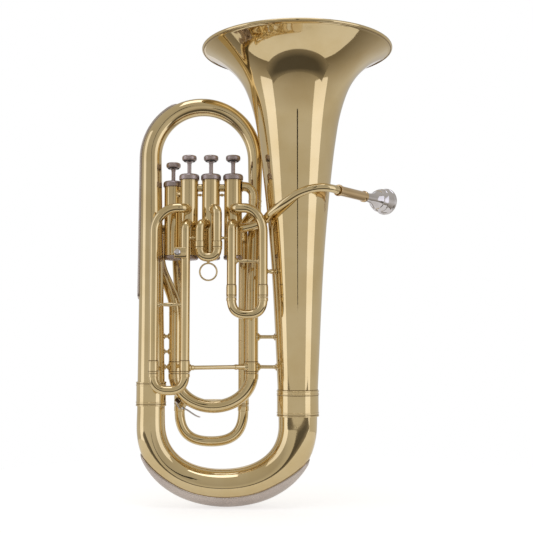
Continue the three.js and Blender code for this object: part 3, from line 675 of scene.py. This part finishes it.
def coil(x, y, low, high, radius, wire, turns, way="z"):
    """A wire wound on an upright axis, or on one along Y where `way` is y."""
    angles = np.linspace(0, TAU * turns, int(turns * 40))
    rise = np.linspace(low + wire, high - wire, len(angles))
    path = np.column_stack([x + radius * np.cos(angles), y + radius * np.sin(angles), rise])
    line = Line(path if way == "z" else path[:, [0, 2, 1]])
    points, normals, across = line.at(np.linspace(0, line.length, int(turns * 28)))
    around_wire = spokes(WIRE_SIDES, normals[:, None], across[:, None])
    return ring_shell(points[:, None] + around_wire * wire, False)


def valve_casing(low, high):
    return [
        (9.5, low), (13.3, low), (13.3, low + 2.4), (13.1, low + 2.6), (13.1, high - 1.8), (13.3, high - 1.6),
        (13.3, high), (9.5, high),
    ]


def piston(foot, top, stem_top):
    return [
        (0, foot), (8.3, foot), (8.9, foot + 1), (8.9, top - 1), (8.3, top), (4.2, top), (3.4, top + 1.5),
        (2.9, top + 2.4), (2.9, stem_top - 3.4), (3.3, stem_top - 2.8), (3.3, stem_top), (0, stem_top),
    ]


TOP_CAP = [
    (3.7, 0), (14.3, 0), (14.7, 0.8), (14.7, 5), (14.4, 6.4), (13.6, 7.6), (12.4, 8.4), (11, 8.7), (4.4, 8.7),
    (3.7, 8.3),
]
BOTTOM_CAP = [
    (2.4, 0), (5.4, 0), (6, 0.5), (11, 0.6), (12.9, 1.4), (13.7, 3), (13.7, 5.6), (13.1, 6.5), (2.4, 6.5),
]
BUTTON = [
    (0, 0), (5.6, 0), (5.9, 0.6), (5.9, 1.2), (8.8, 1.3), (10.1, 2.1), (10.6, 3.6), (10.7, 5.6), (10.4, 7.4),
    (9.5, 8.5), (8.2, 9), (5, 9.2), (0, 9.2),
]
FELT = [(6, 0), (8, 0), (8.4, 0.5), (8.4, 1.4), (8, 2), (6, 2)]

for number, valve in enumerate(VALVES, 1):
    x, y, low, high = valve["x"], valve["y"], valve["low"], valve["high"]
    body = f"valve_{number}"
    button_foot, piston_foot = high + 27.6, high - 72
    rod = piston(piston_foot, high - 8, button_foot - 0.3)
    for name, owner, finish, profile, foot, sides, soft, node in (
        ("casing_tube", "horn", "lacquered_brass", valve_casing(low, high), 0, 56, 0.3, "valve_casing"),
        ("upper_cap", "horn", "nickel", TOP_CAP, high + 0.3, 64, 0.5, "top_cap"),
        ("lower_cap", "horn", "nickel", BOTTOM_CAP, low - 6.9, 64, 0.5, "bottom_cap"),
        ("piston_and_stem", body, "nickel", rod, 0, 48, 0.35, "piston"),
        ("button", body, "nickel", BUTTON, button_foot, 56, 0.6, "finger_button"),
    ):
        shell = turned(profile, (x, y, foot), sides=sides, soft=soft)
        piece(f"{name}_{number}", owner, finish, shell, nodes=[f"{node}_{number}"])
    piece(f"button_felt_{number}", body, "felt", turned(FELT, (x, y, button_foot + 0.1)))
    spring_low, spring_high = low + 0.3, piston_foot - 0.3
    spring = coil(x, y, spring_low, spring_high, 6.6, 0.7, 7)
    spring = piece(f"return_spring_{number}", "horn", "spring_steel", spring, nodes=[f"valve_spring_{number}"])
    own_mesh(spring)

KNUCKLE = [(0.2, 5.9), (1, 5.6), (40, 5.6)]
BALL_ROD = [(0.2, 2.2), (0.8, 1.3), (1.2, 1.3), (2.4, 2.5), (3.6, 2.9), (40, 2.9)]
for i, (first, second) in enumerate(zip(VALVES, VALVES[1:]), 1):
    height = min(first["high"], second["high"]) - 10.9
    ends = [(v["x"], v["y"]) for v in (first, second)]
    knuckle = stay((*ends[0], height), CASING_RADIUS, (*ends[1], height), CASING_RADIUS, KNUCKLE)
    rod = stay((*ends[0], height - 10.5), CASING_RADIUS, (*ends[1], height - 10.5), CASING_RADIUS, BALL_ROD)
    shells = [knuckle] if i == 3 else [knuckle, rod]
    brass_piece(f"casing_knuckle_{i}", f"casing_link_{i}_{i + 1}", *shells)

# ---- Slides ----

def seam(x, y, height, radius):
    """A dark line round an upright tube, where two lengths of it are soldered together."""
    profile = [(radius - 0.6, -0.45), (radius + 0.1, -0.45), (radius + 0.1, 0.45), (radius - 0.6, 0.45)]
    return turned(profile, (x, y, height), sides=40, soft=0.02)


def port_point(valve, x, y, height):
    """A point level with a port, just off a casing's surface, on the side that faces a leg."""
    way = np.array([x - valve["x"], y - valve["y"]], float)
    way *= (CASING_RADIUS - 0.3) / np.linalg.norm(way)
    return (valve["x"] + way[0], valve["y"] + way[1], height)


def fixed_tube(corners, size, sleeve_length=None, rings=(), outside=None, bore=None):
    """An outer slide tube with a solder fillet where it starts, a sleeve at its mouth, and rings along it."""
    line = rounded_line(corners)
    sleeve_length = sleeve_length or size["sleeve_length"]
    step = line.length - sleeve_length
    outline = list(outside or [(0, size["radius"])])
    outline += [(step, outline[-1][1]), (step + 1e-4, size["sleeve"]), (line.length, size["sleeve"])]
    bore = bore or [(0, size["bore"])]
    ends = [(step + 1.3, 1, -0.3), (line.length - 1.5, 1, -0.3)] if sleeve_length > 8 else []
    outline = ringed(outline, [*ends, *rings])
    inner = [*bore, (line.length, bore[-1][1])]
    first = outline[0][1]
    fillet = [(0, first + 1.1), (0.9, first + 0.9), (1.8, first + 0.2)]
    outline = [*fillet, *[p for p in outline if p[0] > 1.9]]
    return swept(line, softened([*outline, *reversed(inner)], 0.3), 40)


def slide_bow(slide, size):
    """The moving part of a slide: two thin legs joined by a bow, with a band where each leg meets it."""
    left, right, end, y = slide["left"], slide["right"], slide["end"], slide["y"]
    half = (right - left) / 2
    shoulder = end - JOINT_GAP
    bottom = slide.get("low", shoulder - half - 2)
    drop = min(shoulder - bottom - 1.5, half * 0.87 + 4)
    line = rounded_line([
        (left, y, slide["leg_top"]),
        (left, y, bottom, drop, half, slide["fullness"]),
        (right, y, bottom, half, drop, slide["fullness"]),
        (right, y, slide["leg_top"]),
    ])
    leg = slide["leg_top"] - shoulder
    radius, sleeve = size["radius"], size["sleeve"]
    band = min(7.5, (shoulder - bottom) * 0.2)
    thin = size["leg"]
    left_side = [(0, thin), (leg, thin), (leg, sleeve), (leg + band, sleeve), (leg + band, radius)]
    outside = left_side + [(line.length - place, r) for place, r in reversed(left_side)]
    grooves = [(leg + 1.4, 0.9, -0.25), (line.length - leg - 1.4, 0.9, -0.25)]
    outside = [(place + 1e-4 * i, r) for i, (place, r) in enumerate(outside)]
    bore = [(0, size["leg_bore"]), (line.length, size["leg_bore"])]
    return tube(line, ringed(outside, grooves), bore, 44, 0.3)


LENS = [(0.1, 4.2), (0.9, 3.9), (2.2, 2.0), (5, 1.7), (9, 2.5), (14, 2.9), (40, 2.9)]
BALUSTER = [(0.1, 4.6), (0.9, 4.2), (2.1, 2.3), (4, 2.0), (40, 2.0)]
SHORT_LENS = [(0.1, 4.4), (0.8, 4.1), (1.9, 2.0), (3.6, 2.6), (5.5, 3.3), (40, 3.3)]
PIN = [(0.1, 2.6), (0.6, 2.3), (1.4, 1.6), (2.4, 1.9), (3.2, 2.5), (40, 2.5)]
LONG_STAY_PROFILE = [(0.2, 5.6), (1.1, 5.3), (2.3, 3.8), (6, 3.6), (7, 3), (400, 3)]


def between(slide, height, radius, profile):
    """A brace across a slide's two outer tubes."""
    ends = [(slide[side], slide["y"], height) for side in ("left", "right")]
    return stay(ends[0], radius, ends[1], radius, profile)


def front_legs(slide, valve, over, under, knuckle, reach):
    """A front slide's outer tubes, `over` from the upper port and `under` from the lower one."""
    over_route = [
        port_point(valve, knuckle, FRONT, HIGH_PORT),
        (knuckle, FRONT, HIGH_PORT, 8, 8),
        (slide[over], FRONT, HIGH_PORT, reach, 34),
        (slide[over], FRONT, slide["end"]),
    ]
    under_route = [
        port_point(valve, slide[under], FRONT, LOW_PORT),
        (slide[under], FRONT, LOW_PORT, 10, 12),
        (slide[under], FRONT, slide["end"]),
    ]
    return fixed_tube(over_route, SMALL), fixed_tube(under_route, SMALL)


def third_slide():
    legs = front_legs(THIRD_SLIDE, VALVES[2], "left", "right", THIRD_SLIDE["right"] - 2, 33)
    return *legs, between(THIRD_SLIDE, 288, SMALL["radius"], LENS)


def first_slide():
    legs = front_legs(FIRST_SLIDE, VALVES[0], "right", "left", FIRST_SLIDE["left"] + 5, 27)
    height = 335.5
    start = (FIRST_SLIDE["right"], FRONT, height)
    to_bell = stay(start, SMALL["radius"], (*BELL_AXIS, height), bell_radius(height) + 0.4, SHORT_LENS)
    return *legs, between(FIRST_SLIDE, 350, SMALL["radius"], LENS), to_bell


def second_slide_tube(x, height, neighbour):
    corners = [
        port_point(VALVES[1], x, FRONT, height),
        (x, FRONT, height, 9.5, 11),
        (x, FRONT, SECOND_SLIDE["end"]),
    ]
    pin = stay((x, FRONT, 383), SMALL["radius"], (neighbour, FRONT, 383), SMALL["radius"], PIN)
    return fixed_tube(corners, SMALL, 7.5), pin


def pull_ring():
    """The finger ring, and the stub that holds it under the second slide's bow."""
    x = (SECOND_SLIDE["left"] + SECOND_SLIDE["right"]) / 2
    middle, radius, wire = 334.6, 12.1, 1.25
    outwards = spokes(72, Z_WAY, X_WAY)[:, None]
    rings = np.array([x, FRONT, middle]) + radius * outwards + wire * spokes(14, outwards, Y_WAY)
    foot = middle + radius - 0.4
    top = SECOND_SLIDE["end"] - JOINT_GAP - (SECOND_SLIDE["right"] - SECOND_SLIDE["left"]) / 2 - 8.3
    stub = [
        (0, foot), (1.7, foot), (2.1, foot + 0.8), (1.5, foot + 1.6), (2.2, top - 0.9), (2.8, top), (0, top),
    ]
    return ring_shell(rings, True), turned(stub, (x, FRONT, 0), sides=32, soft=0.25)


def branch_radius(height):
    return radius_at(top_outline, height - BOW["joint"])


def main_slide_left():
    slide = MAIN_SLIDE
    corners = [
        port_point(VALVES[3], -204, 35, 402),
        (-204, 35, 402, 8.5, 9),
        (-204.5, 37, 350, 18, 20),
        (-178.3, 16, 292, 20, 18),
        (slide["left"], slide["y"], slide["end"]),
    ]
    length = rounded_line(corners).length
    outside = [(0, 6.9), (62, 7.6), (length - 100, 8.7), (length - 86, MAIN["radius"])]
    bore = [(0, 5.9), (62, 6.6), (length - 86, MAIN["bore"])]
    rings = [(length - 84.5, 1.3, 0.4), (length - 88, 1.3, 0.4)]
    pipe = fixed_tube(corners, MAIN, rings=rings, outside=outside, bore=bore)
    braces = []
    for height, near, profile in (
        (243.4, MAIN["radius"], BALUSTER), (221.2, MAIN["radius"], SHORT_LENS),
        (199, MAIN["sleeve"], BALUSTER),
    ):
        start = (slide["left"], slide["y"], height)
        end = (branch_x(height), BOW["y"] + 1, height)
        braces.append(stay(start, near, end, branch_radius(height) + 0.2, profile))
    return pipe, *braces


def main_slide_right():
    slide = MAIN_SLIDE
    corners = [
        (TOP["right"] - 0.8, TOP["right_y"] + 0.5, TOP["end"] - 0.3),
        (-62.3, 26.4, 425, 5, 5),
        (-66.5, 16, 285, 20, 20),
        (slide["right"], slide["y"], slide["end"]),
    ]
    outside = [(0, MAIN["radius"]), (2, MAIN["radius"])]
    bore = [(0, 8.6), (160, MAIN["bore"])]
    rings = [(3.2, 1.2, 0.5), (8, 1.2, 0.5)]
    return fixed_tube(corners, MAIN, rings=rings, outside=outside, bore=bore)


def fourth_slide():
    slide = FOURTH_SLIDE
    left_route = [
        port_point(VALVES[3], -180, 46, 391),
        (-180, 46, 391, 8, 8),
        (-177.9, 43, 340, 12, 12),
        (-172.9, 34.3, 283, 16, 18),
        (slide["left"], slide["y"], slide["end"]),
    ]
    crook_route = [
        (VALVES[0]["x"] + CASING_RADIUS - 0.3, VALVES[0]["y"], 461),
        (-64, -4, 461, 14.5, 14.5),
        (-64, -3, 424, 12, 12),
        (-80.4, 14, 406, 10, 9),
        (-79.2, 34.3, 386, 10, 12),
        (slide["right"], slide["y"], slide["end"]),
    ]
    left = fixed_tube(left_route, FOURTH)
    length = rounded_line(crook_route).length
    outside = [(0, 6.9), (60, 6.4), (130, FOURTH["radius"])]
    bore = [(0, 5.8), (60, 5.5), (130, FOURTH["bore"])]
    rings = [(6, 1.2, 0.35), (30, 1.2, 0.35), (length - 236.5 + slide["end"], 1.3, 0.4)]
    right = fixed_tube(crook_route, FOURTH, rings=rings, outside=outside, bore=bore)
    cross = [(0.1, 4.2), (0.9, 4), (2, 2.6), (200, 2.6)]
    return left, right, between(slide, 148.5, FOURTH["sleeve"], cross)


second_left = second_slide_tube(SECOND_SLIDE["left"], LOW_PORT, THIRD_SLIDE["right"])
second_right = second_slide_tube(SECOND_SLIDE["right"], HIGH_PORT, FIRST_SLIDE["left"])
brass_piece("third_outer_tubes", "third_slide_tubes", *third_slide())
brass_piece("first_outer_tubes", "first_slide_tubes", *first_slide())
brass_piece("second_outer_tube_left", "second_slide_left_tube", *second_left)
brass_piece("second_outer_tube_right", "second_slide_right_tube", *second_right)
brass_piece("main_outer_tube_left", "main_slide_left_tube", *main_slide_left())
brass_piece("main_outer_tube_right", "main_slide_right_tube", main_slide_right())
brass_piece("fourth_outer_tubes", "fourth_slide_tubes", *fourth_slide())
for name, slide, size in (
    ("third_slide", THIRD_SLIDE, SMALL), ("second_slide", SECOND_SLIDE, SMALL),
    ("first_slide", FIRST_SLIDE, SMALL), ("fourth_slide", FOURTH_SLIDE, FOURTH),
):
    piece(f"{name}_inner_bow", name, "lacquered_brass", slide_bow(slide, size), nodes=[f"{name}_bow"])
ring = pull_ring()
piece("second_slide_finger_ring", "second_slide", "lacquered_brass", *ring, nodes=["second_slide_pull_ring"])

rings = [
    (BELL_AXIS, 131.6, 29.95), (BELL_AXIS, 159.2, 29.95), (BELL_AXIS, 166.9, 29.25),
    (branch_foot, 146.2, 21.35), (branch_foot, 175.6, 21.35),
    ((MAIN_SLIDE["left"], MAIN_SLIDE["y"]), 275, MAIN["radius"] - 0.1),
    ((FOURTH_SLIDE["right"], FOURTH_SLIDE["y"]), 236.5, FOURTH["radius"]),
]
for side in ("left", "right"):
    for slide, height in ((THIRD_SLIDE, 391.4), (FIRST_SLIDE, 390.6)):
        rings.append(((slide[side], FRONT), height, SMALL["radius"]))
    for above in (0.4, 7.6):
        rings.append(((SECOND_SLIDE[side], FRONT), SECOND_SLIDE["end"] + above, SMALL["sleeve"] - 0.4))
    for slide, size in (
        (THIRD_SLIDE, SMALL), (FIRST_SLIDE, SMALL), (MAIN_SLIDE, MAIN), (FOURTH_SLIDE, FOURTH),
    ):
        foot = (slide[side], slide["y"])
        rings.append((foot, slide["end"] + 2.6, size["sleeve"]))
        rings.append((foot, slide["end"] + size["sleeve_length"] + 0.7, size["radius"]))
# A thin dark ring under the bell's rim wire, in the seam colour: painted shade where the rolled rim's
# underside is dark.
painted_rim_shade = turned([(137, 661.9), (138.1, 661.9), (138.1, 662.5), (137, 662.5)], sides=BELL_SIDES, soft=0.1)
seams = [seam(*place, height, radius) for place, height, radius in rings]
# The solder lines and the painted shade under the rim wire, as one piece.
piece("solder_lines_and_painted_rim_shade", "horn", "seam", *seams, painted_rim_shade)

# ---- Water key ----

# Points in the slide's plane are (x, z).
PIVOT = np.array([-166.6, 139.6])
SEAT = np.array([-172.4, MAIN_SLIDE["y"], 151.6])
OUT = np.array([-0.718, 0, -0.696])
TIP = np.array([-141, 126.6])
EAR = 5
KEY_Y = MAIN_SLIDE["y"]


def strip(path, widths, thicknesses):
    """A bent strip in the slide's plane through [x, z] points, with rounded edges."""
    places = np.linspace(0, 1, len(path))
    path = smooth_curve(path, 6)
    fine = np.linspace(0, 1, len(path))
    widths = np.interp(fine, places, widths)
    thicknesses = np.interp(fine, places, thicknesses)
    slopes = unit(np.gradient(path, axis=0))
    rings = []
    turn = np.arange(20) * TAU / 20
    flat = np.sign(np.cos(turn)) * np.abs(np.cos(turn)) ** 0.5 / 2
    high = np.sign(np.sin(turn)) * np.abs(np.sin(turn)) ** 0.7 / 2
    for (x, z), (dx, dz), width, thick in zip(path, slopes, widths, thicknesses):
        up = high * thick
        rings.append(np.column_stack([x - dz * up, KEY_Y + flat * width, z + dx * up]))
    return ring_shell(np.array(rings), False)


def barrel(radius, low, high):
    """A ring on the pivot's axis, from one distance along it to another."""
    profile = [(1.35, low), (radius, low), (radius, high), (1.35, high)]
    return turned(profile, (PIVOT[0], KEY_Y, PIVOT[1]), Y_WAY, 32, 0.2)


def main_slide_bow():
    """The bow with the water key's nipple, and two ears that hold its pin."""
    nipple = turned([(1.2, -2.6), (3.6, -2.6), (3.2, -1.2), (3, 0), (1.2, 0)], SEAT, OUT, 32, 0.2)
    foot = softened(np.array([(-1.9, -0.4), (1.5, -1.9), (6.6, 4.6), (3, 7.4)]) + PIVOT, 0.5)
    ears = []
    for side in (-EAR, EAR):
        low, high = side - 0.7, side + 0.7
        rings = [np.insert(foot, 1, KEY_Y + y, axis=1) for y in (low, high)]
        ears += [barrel(2.6, low, high), ring_shell(np.array(rings), False)]
    return slide_bow(MAIN_SLIDE, MAIN), nipple, *ears


def water_key():
    cup = turned([(0, 4.2), (4.3, 4.2), (4.7, 4.7), (4.4, 5.6), (2.6, 6.3), (0, 6.5)], SEAT, OUT, 36, 0.25)
    seat = (SEAT + OUT * 5)[[0, 2]]
    arm = strip(
        [seat, seat + (1, -3.6), PIVOT - (4, 1.4), PIVOT - (1, 0.2)],
        [3, 2.9, 2.8, 2.8], [1.6, 1.7, 1.8, 1.8],
    )
    handle = strip(
        [PIVOT + (1, -0.4), PIVOT + (7, -3.4), PIVOT + (13, -7.4), TIP + (-6, 1.6), TIP + (-2, 0.2), TIP],
        [2.8, 2.9, 3.2, 5.4, 6.8, 5], [2.2, 2.4, 2.3, 2.1, 1.9, 1.4],
    )
    return cup, arm, handle, barrel(2.3, -1.5, 1.5)


piece("main_slide_inner_bow", "main_slide", "lacquered_brass", *main_slide_bow(), nodes=["main_slide_bow"])
piece("water_key_arm", "water_key", "silver_plate", *water_key(), nodes=["water_key_lever"])
cork = turned([(0, 0.4), (3.9, 0.4), (4.2, 0.9), (4.2, 3.4), (3.9, 3.8), (0, 3.8)], SEAT, OUT, 36, 0.2)
piece("water_key_pad", "water_key", "cork", cork, nodes=["water_key_cork"])
pin = [(0, -6.4), (1.5, -6.4), (1.5, -5.9), (1.1, -5.7), (1.1, 6.2), (0, 6.4)]
pin = turned(pin, (PIVOT[0], KEY_Y, PIVOT[1]), Y_WAY, 24, 0.15)
piece("water_key_screw", "main_slide", "silver_plate", pin, nodes=["water_key_pin"])
wire = coil(PIVOT[0], PIVOT[1], KEY_Y + 1.7, KEY_Y + 4.1, 1.85, 0.28, 3, "y")
piece("water_key_wire", "main_slide", "spring_steel", wire, nodes=["water_key_spring"])

# ---- Braces ----

FOOTED = [(0.2, 5.9), (1.2, 5.6), (2.8, 3.3), (5, 2.7), (40, 2.7)]
for name, height, radius in (("upper", 242.5, MAIN["radius"]), ("lower", 199, MAIN["sleeve"])):
    start = (MAIN_SLIDE["right"], MAIN_SLIDE["y"], height)
    rod = stay(start, radius, (*BELL_AXIS, height), bell_radius(height), FOOTED)
    brass_piece(f"bell_stay_{name}", f"bell_brace_{name}", rod)


def long_stay():
    """The stay across the valves' tubes, with a sleeve on its right end."""
    start = (THIRD_SLIDE["right"], FRONT, 199)
    end = (MAIN_SLIDE["right"], MAIN_SLIDE["y"], 199)
    rod = stay(start, SMALL["sleeve"], end, MAIN["sleeve"], LONG_STAY_PROFILE)
    way = np.subtract(end, start)
    length = np.linalg.norm(way)
    sleeve_start, sleeve_end = 0.74 * length, length - MAIN["sleeve"] - 2.4
    profile = [
        (2.8, sleeve_start), (3.6, sleeve_start), (4, sleeve_start + 0.6), (4, sleeve_start + 3),
        (3.7, sleeve_start + 3.4), (3.7, sleeve_end), (2.8, sleeve_end),
    ]
    return rod, turned(profile, start, way, 40, 0.2)


brass_piece("valve_tubes_stay", "long_stay", *long_stay())

# ---- Leadpipe, receiver and mouthpiece ----

LEADPIPE_ROUTE = [
    (-83, -9.1, 398.6), (-62, -15.2, 403), (-48.6, -19, 409.5), (-38, -35, 418.6), (-20.6, -50, 430.2),
    (-0.8, -57.8, 442.6), (19.2, -61, 449.3), (35, -60.8, 450.8), (47, -56.8, 449.8), (56.9, -48.6, 448.5),
]
lead_line = Line(smooth_curve(LEADPIPE_ROUTE, 24))
lead_rings = [(28, 1.4, 0.45), (lead_line.length - 5, 3.2, 0.5)]
lead_outside = ringed([(0, 6.2), (lead_line.length, 5.7)], lead_rings)
lead = tube(lead_line, lead_outside, [(0, 5.2), (lead_line.length, 4.7)], 44)
brass_piece("leadpipe_tube", "leadpipe", lead)

RECEIVER = [
    (6.1, 0.6), (7.9, 0.6), (8.2, 1.2), (8.2, 3.4), (7.7, 4.1), (7.05, 4.7), (7.05, 62.2), (7.6, 62.9),
    (8.2, 63.6), (8.2, 66.8), (7.7, 67.6), (6.1, 67.6),
]
receiver = turned(RECEIVER, RECEIVER_START, PLAYER_WAY, 48)
piece("receiver_tube", "horn", "leadpipe_brass", receiver, nodes=["mouthpiece_receiver"])

MOUTHPIECE = [
    (5, 0), (5.5, 21), (5.9, 22.4), (6.2, 24), (6.5, 30), (7.1, 36), (8.1, 41), (9.6, 45.4), (11.4, 49.4),
    (12.9, 52), (13.2, 52.6), (14.2, 53.2), (16, 58.6), (16.6, 60), (17.2, 60.6), (17.3, 62.2), (16.9, 63),
    (17.5, 66), (17.9, 68.4), (18.3, 72), (18.6, 73), (19.3, 73.8), (19.7, 75), (19.7, 76.6), (19.2, 77.9),
    (18.2, 78.7), (17.2, 78.8), (16, 78.5), (14.4, 77.4), (13.2, 75.8), (12.8, 72), (12.4, 68), (11.3, 63.4),
    (9.6, 59), (7, 54.6), (4.6, 51.6), (3.6, 49), (3.4, 45), (4, 0),
]
mouthpiece_start = RECEIVER_START + (RECEIVER_LENGTH - SHANK_IN) * PLAYER_WAY
mouthpiece = turned(MOUTHPIECE, mouthpiece_start, PLAYER_WAY, 80, 0.5)
piece("mouthpiece_cup", "mouthpiece", "silver_plate", mouthpiece, nodes=["mouthpiece"])

# ---- Lyre holder ----

def lyre_block():
    """A rounded block with an upright square socket, as stacked frames."""
    outer = softened([(-175, -46.5), (-157.5, -46.5), (-157.5, -37.7), (-175, -37.7)], 1.4)
    inner = softened([(-172.8, -44.6), (-166.8, -44.6), (-166.8, -39.3), (-172.8, -39.3)], 0.4)
    middle = np.mean(outer, axis=0)

    def even(loop, count=64):
        closed = np.vstack([loop, loop[:1]])
        places = distances(closed)
        return sampled(np.linspace(0, places[-1], count, endpoint=False), places, closed)

    outer, inner = even(outer), even(inner)
    small = middle + (outer - middle) * [0.94, 0.89]
    levels = [(outer, 354.1), (outer, 367.4), (small, 368), (inner, 368), (inner, 353.5), (small, 353.5)]
    return ring_shell(np.array([np.insert(loop, 2, z, axis=1) for loop, z in levels]), True)


SCREW = [
    (0, 0), (1.4, 0), (1.4, 4.4), (3, 4.5), (4.4, 4.9), (4.7, 5.6), (4.7, 7.4), (4.2, 8.2), (2.8, 8.9), (0, 9),
]
SCREW_START = (-169.8, -44.7, 360.8)
brass_piece("lyre_socket_block", "lyre_holder", lyre_block())
screw = turned(SCREW, SCREW_START, -Y_WAY, 40, 0.25)
piece("lyre_thumb_screw", "lyre_screw", "silver_plate", screw, nodes=["lyre_screw"])

# ---- Floor, light and camera, in metres ----

FLOOR_RADIUS = 0.62
FLOOR_DEPTH = 0.0002
FLOOR_GLOW = 0.28
FLOOR_GLOW_TO_CAMERA = 0.34
PANEL_DISTANCE = 2.1
CAMERA_LENS = 63.8
CAMERA_PLACE = (DATUM[0] - 0.045, -1.369, 0.2389)
CAMERA_TILT = 4.39


def staged(name, corners):
    """A flat face that is part of the set, with a matt material to finish."""
    made = mesh_object(name, corners, [tuple(range(len(corners)))])
    material, nodes, links, shader = new_material(name)
    shader.inputs["Roughness"].default_value = 0.9
    made.data.materials.append(material)
    return made, nodes, links, shader


def floor():
    """A round pale floor. To the camera it is lit up to the white of the room behind it."""
    corners = FLOOR_RADIUS * spokes(96, X_WAY, Y_WAY) - FLOOR_DEPTH * Z_WAY
    _, nodes, links, shader = staged("floor", corners)
    shader.inputs["Specular IOR Level"].default_value = 0.1
    shader.inputs["Emission Color"].default_value = (1, 1, 1, 1)
    clouds = grain_noise(nodes, links, 3, 2)
    tones = ramped(nodes, links, clouds, [(0, (0.72, 0.71, 0.69)), (1, (0.75, 0.74, 0.72))])
    links.new(tones, shader.inputs["Base Color"])
    to_camera = nodes.new("ShaderNodeLightPath").outputs["Is Camera Ray"]
    glow = scaled(nodes, links, to_camera, FLOOR_GLOW_TO_CAMERA, FLOOR_GLOW)
    links.new(glow, shader.inputs["Emission Strength"])


def soft_box(name, place, target, size, power):
    """A rectangular lamp of a bluish white, turned towards its target."""
    light = bpy.data.lights.new(name, "AREA")
    light.shape = "RECTANGLE"
    light.size, light.size_y = size
    light.energy = power
    light.color = (0.88, 0.92, 1.12)
    made = added(name, light)
    made.location = place
    made.rotation_euler = (Vector(target) - Vector(place)).to_track_quat("-Z", "Y").to_euler()


# The room round the object, by height: a darker floor beyond the pale one, then plain walls and ceiling.
ROOM = [
    (0.0, (0.13, 0.11, 0.085)), (0.14, (0.20, 0.175, 0.14)), (0.30, (0.43, 0.40, 0.36)),
    (0.44, (0.58, 0.56, 0.53)), (0.53, (0.52, 0.50, 0.47)), (0.62, (0.43, 0.41, 0.38)),
    (1.0, (0.50, 0.48, 0.44)),
]


def studio_world():
    """A plain room. The camera sees it as white, and the metal reflects its walls."""
    room = bpy.data.worlds.new("studio")
    room.use_nodes = True
    nodes, links = room.node_tree.nodes, room.node_tree.links
    place = nodes.new("ShaderNodeTexCoord")
    axes = nodes.new("ShaderNodeSeparateXYZ")
    links.new(place.outputs["Generated"], axes.inputs[0])
    level = scaled(nodes, links, axes.outputs["Z"], 0.5, 0.5)
    seen = nodes.new("ShaderNodeMix")
    seen.data_type = "RGBA"
    seen.inputs["B"].default_value = (1, 1, 1, 1)
    links.new(nodes.new("ShaderNodeLightPath").outputs["Is Camera Ray"], seen.inputs["Factor"])
    links.new(ramped(nodes, links, level, ROOM), seen.inputs["A"])
    links.new(seen.outputs["Result"], nodes["Background"].inputs["Color"])
    bpy.context.scene.world = room


def flag(name, corners, edge):
    """A card that is darker in the middle, which the metal reflects and the camera doesn't see."""
    middle = np.mean(corners, axis=0)
    made, nodes, links, shader = staged(name, corners - middle)
    made.location = middle
    made.visible_camera = made.visible_diffuse = made.visible_shadow = False
    reach = np.maximum(np.ptp(corners, axis=0) / 2, 0.001)
    fade = nodes.new("ShaderNodeTexGradient")
    fade.gradient_type = "SPHERICAL"
    links.new(own_place(nodes, links, 1 / reach), fade.inputs["Vector"])
    tones = ramped(nodes, links, fade.outputs["Fac"], [(0.0, edge), (0.5, [0.35 * tone for tone in edge])])
    links.new(tones, shader.inputs["Base Color"])


floor()
studio_world()
# The upright panels stand round the object at azimuths counted from the camera's side towards its right.
for name, azimuth, width, power in (
    ("left_panel", -74, 1.15, 5.4), ("right_panel", 56, 1.2, 5.7), ("rear_panel", 180, 1.3, 2.5),
):
    turn = math.radians(azimuth)
    place = (PANEL_DISTANCE * math.sin(turn), -PANEL_DISTANCE * math.cos(turn), 0.75)
    soft_box(name, place, (0, 0, 0.45), (width, 2.4), power)
soft_box("overhead_panel", (0, -0.3, 2.6), (0, 0, 0.3), (1.4, 1.4), 9)
camera_gap = [(-0.06, -2.3, 0.13), (0.06, -2.3, 0.13), (0.085, -2.3, 1.6), (-0.085, -2.3, 1.6)]
flag("camera_gap", camera_gap, (0.04, 0.035, 0.03))
floor_gap = [(-1.3, -0.85, 0.001), (1.3, -0.85, 0.001), (0.8, -0.28, 0.001), (-0.8, -0.28, 0.001)]
flag("floor_gap", floor_gap, (0.34, 0.31, 0.26))

camera_data = bpy.data.cameras.new("camera")
camera_data.lens = CAMERA_LENS
camera_data.sensor_width = 36
camera = added("camera", camera_data)
camera.location = CAMERA_PLACE
camera.rotation_euler = (math.radians(90 + CAMERA_TILT), 0, 0)
bpy.context.scene.camera = camera
bpy.context.scene.view_settings.view_transform = "Standard"
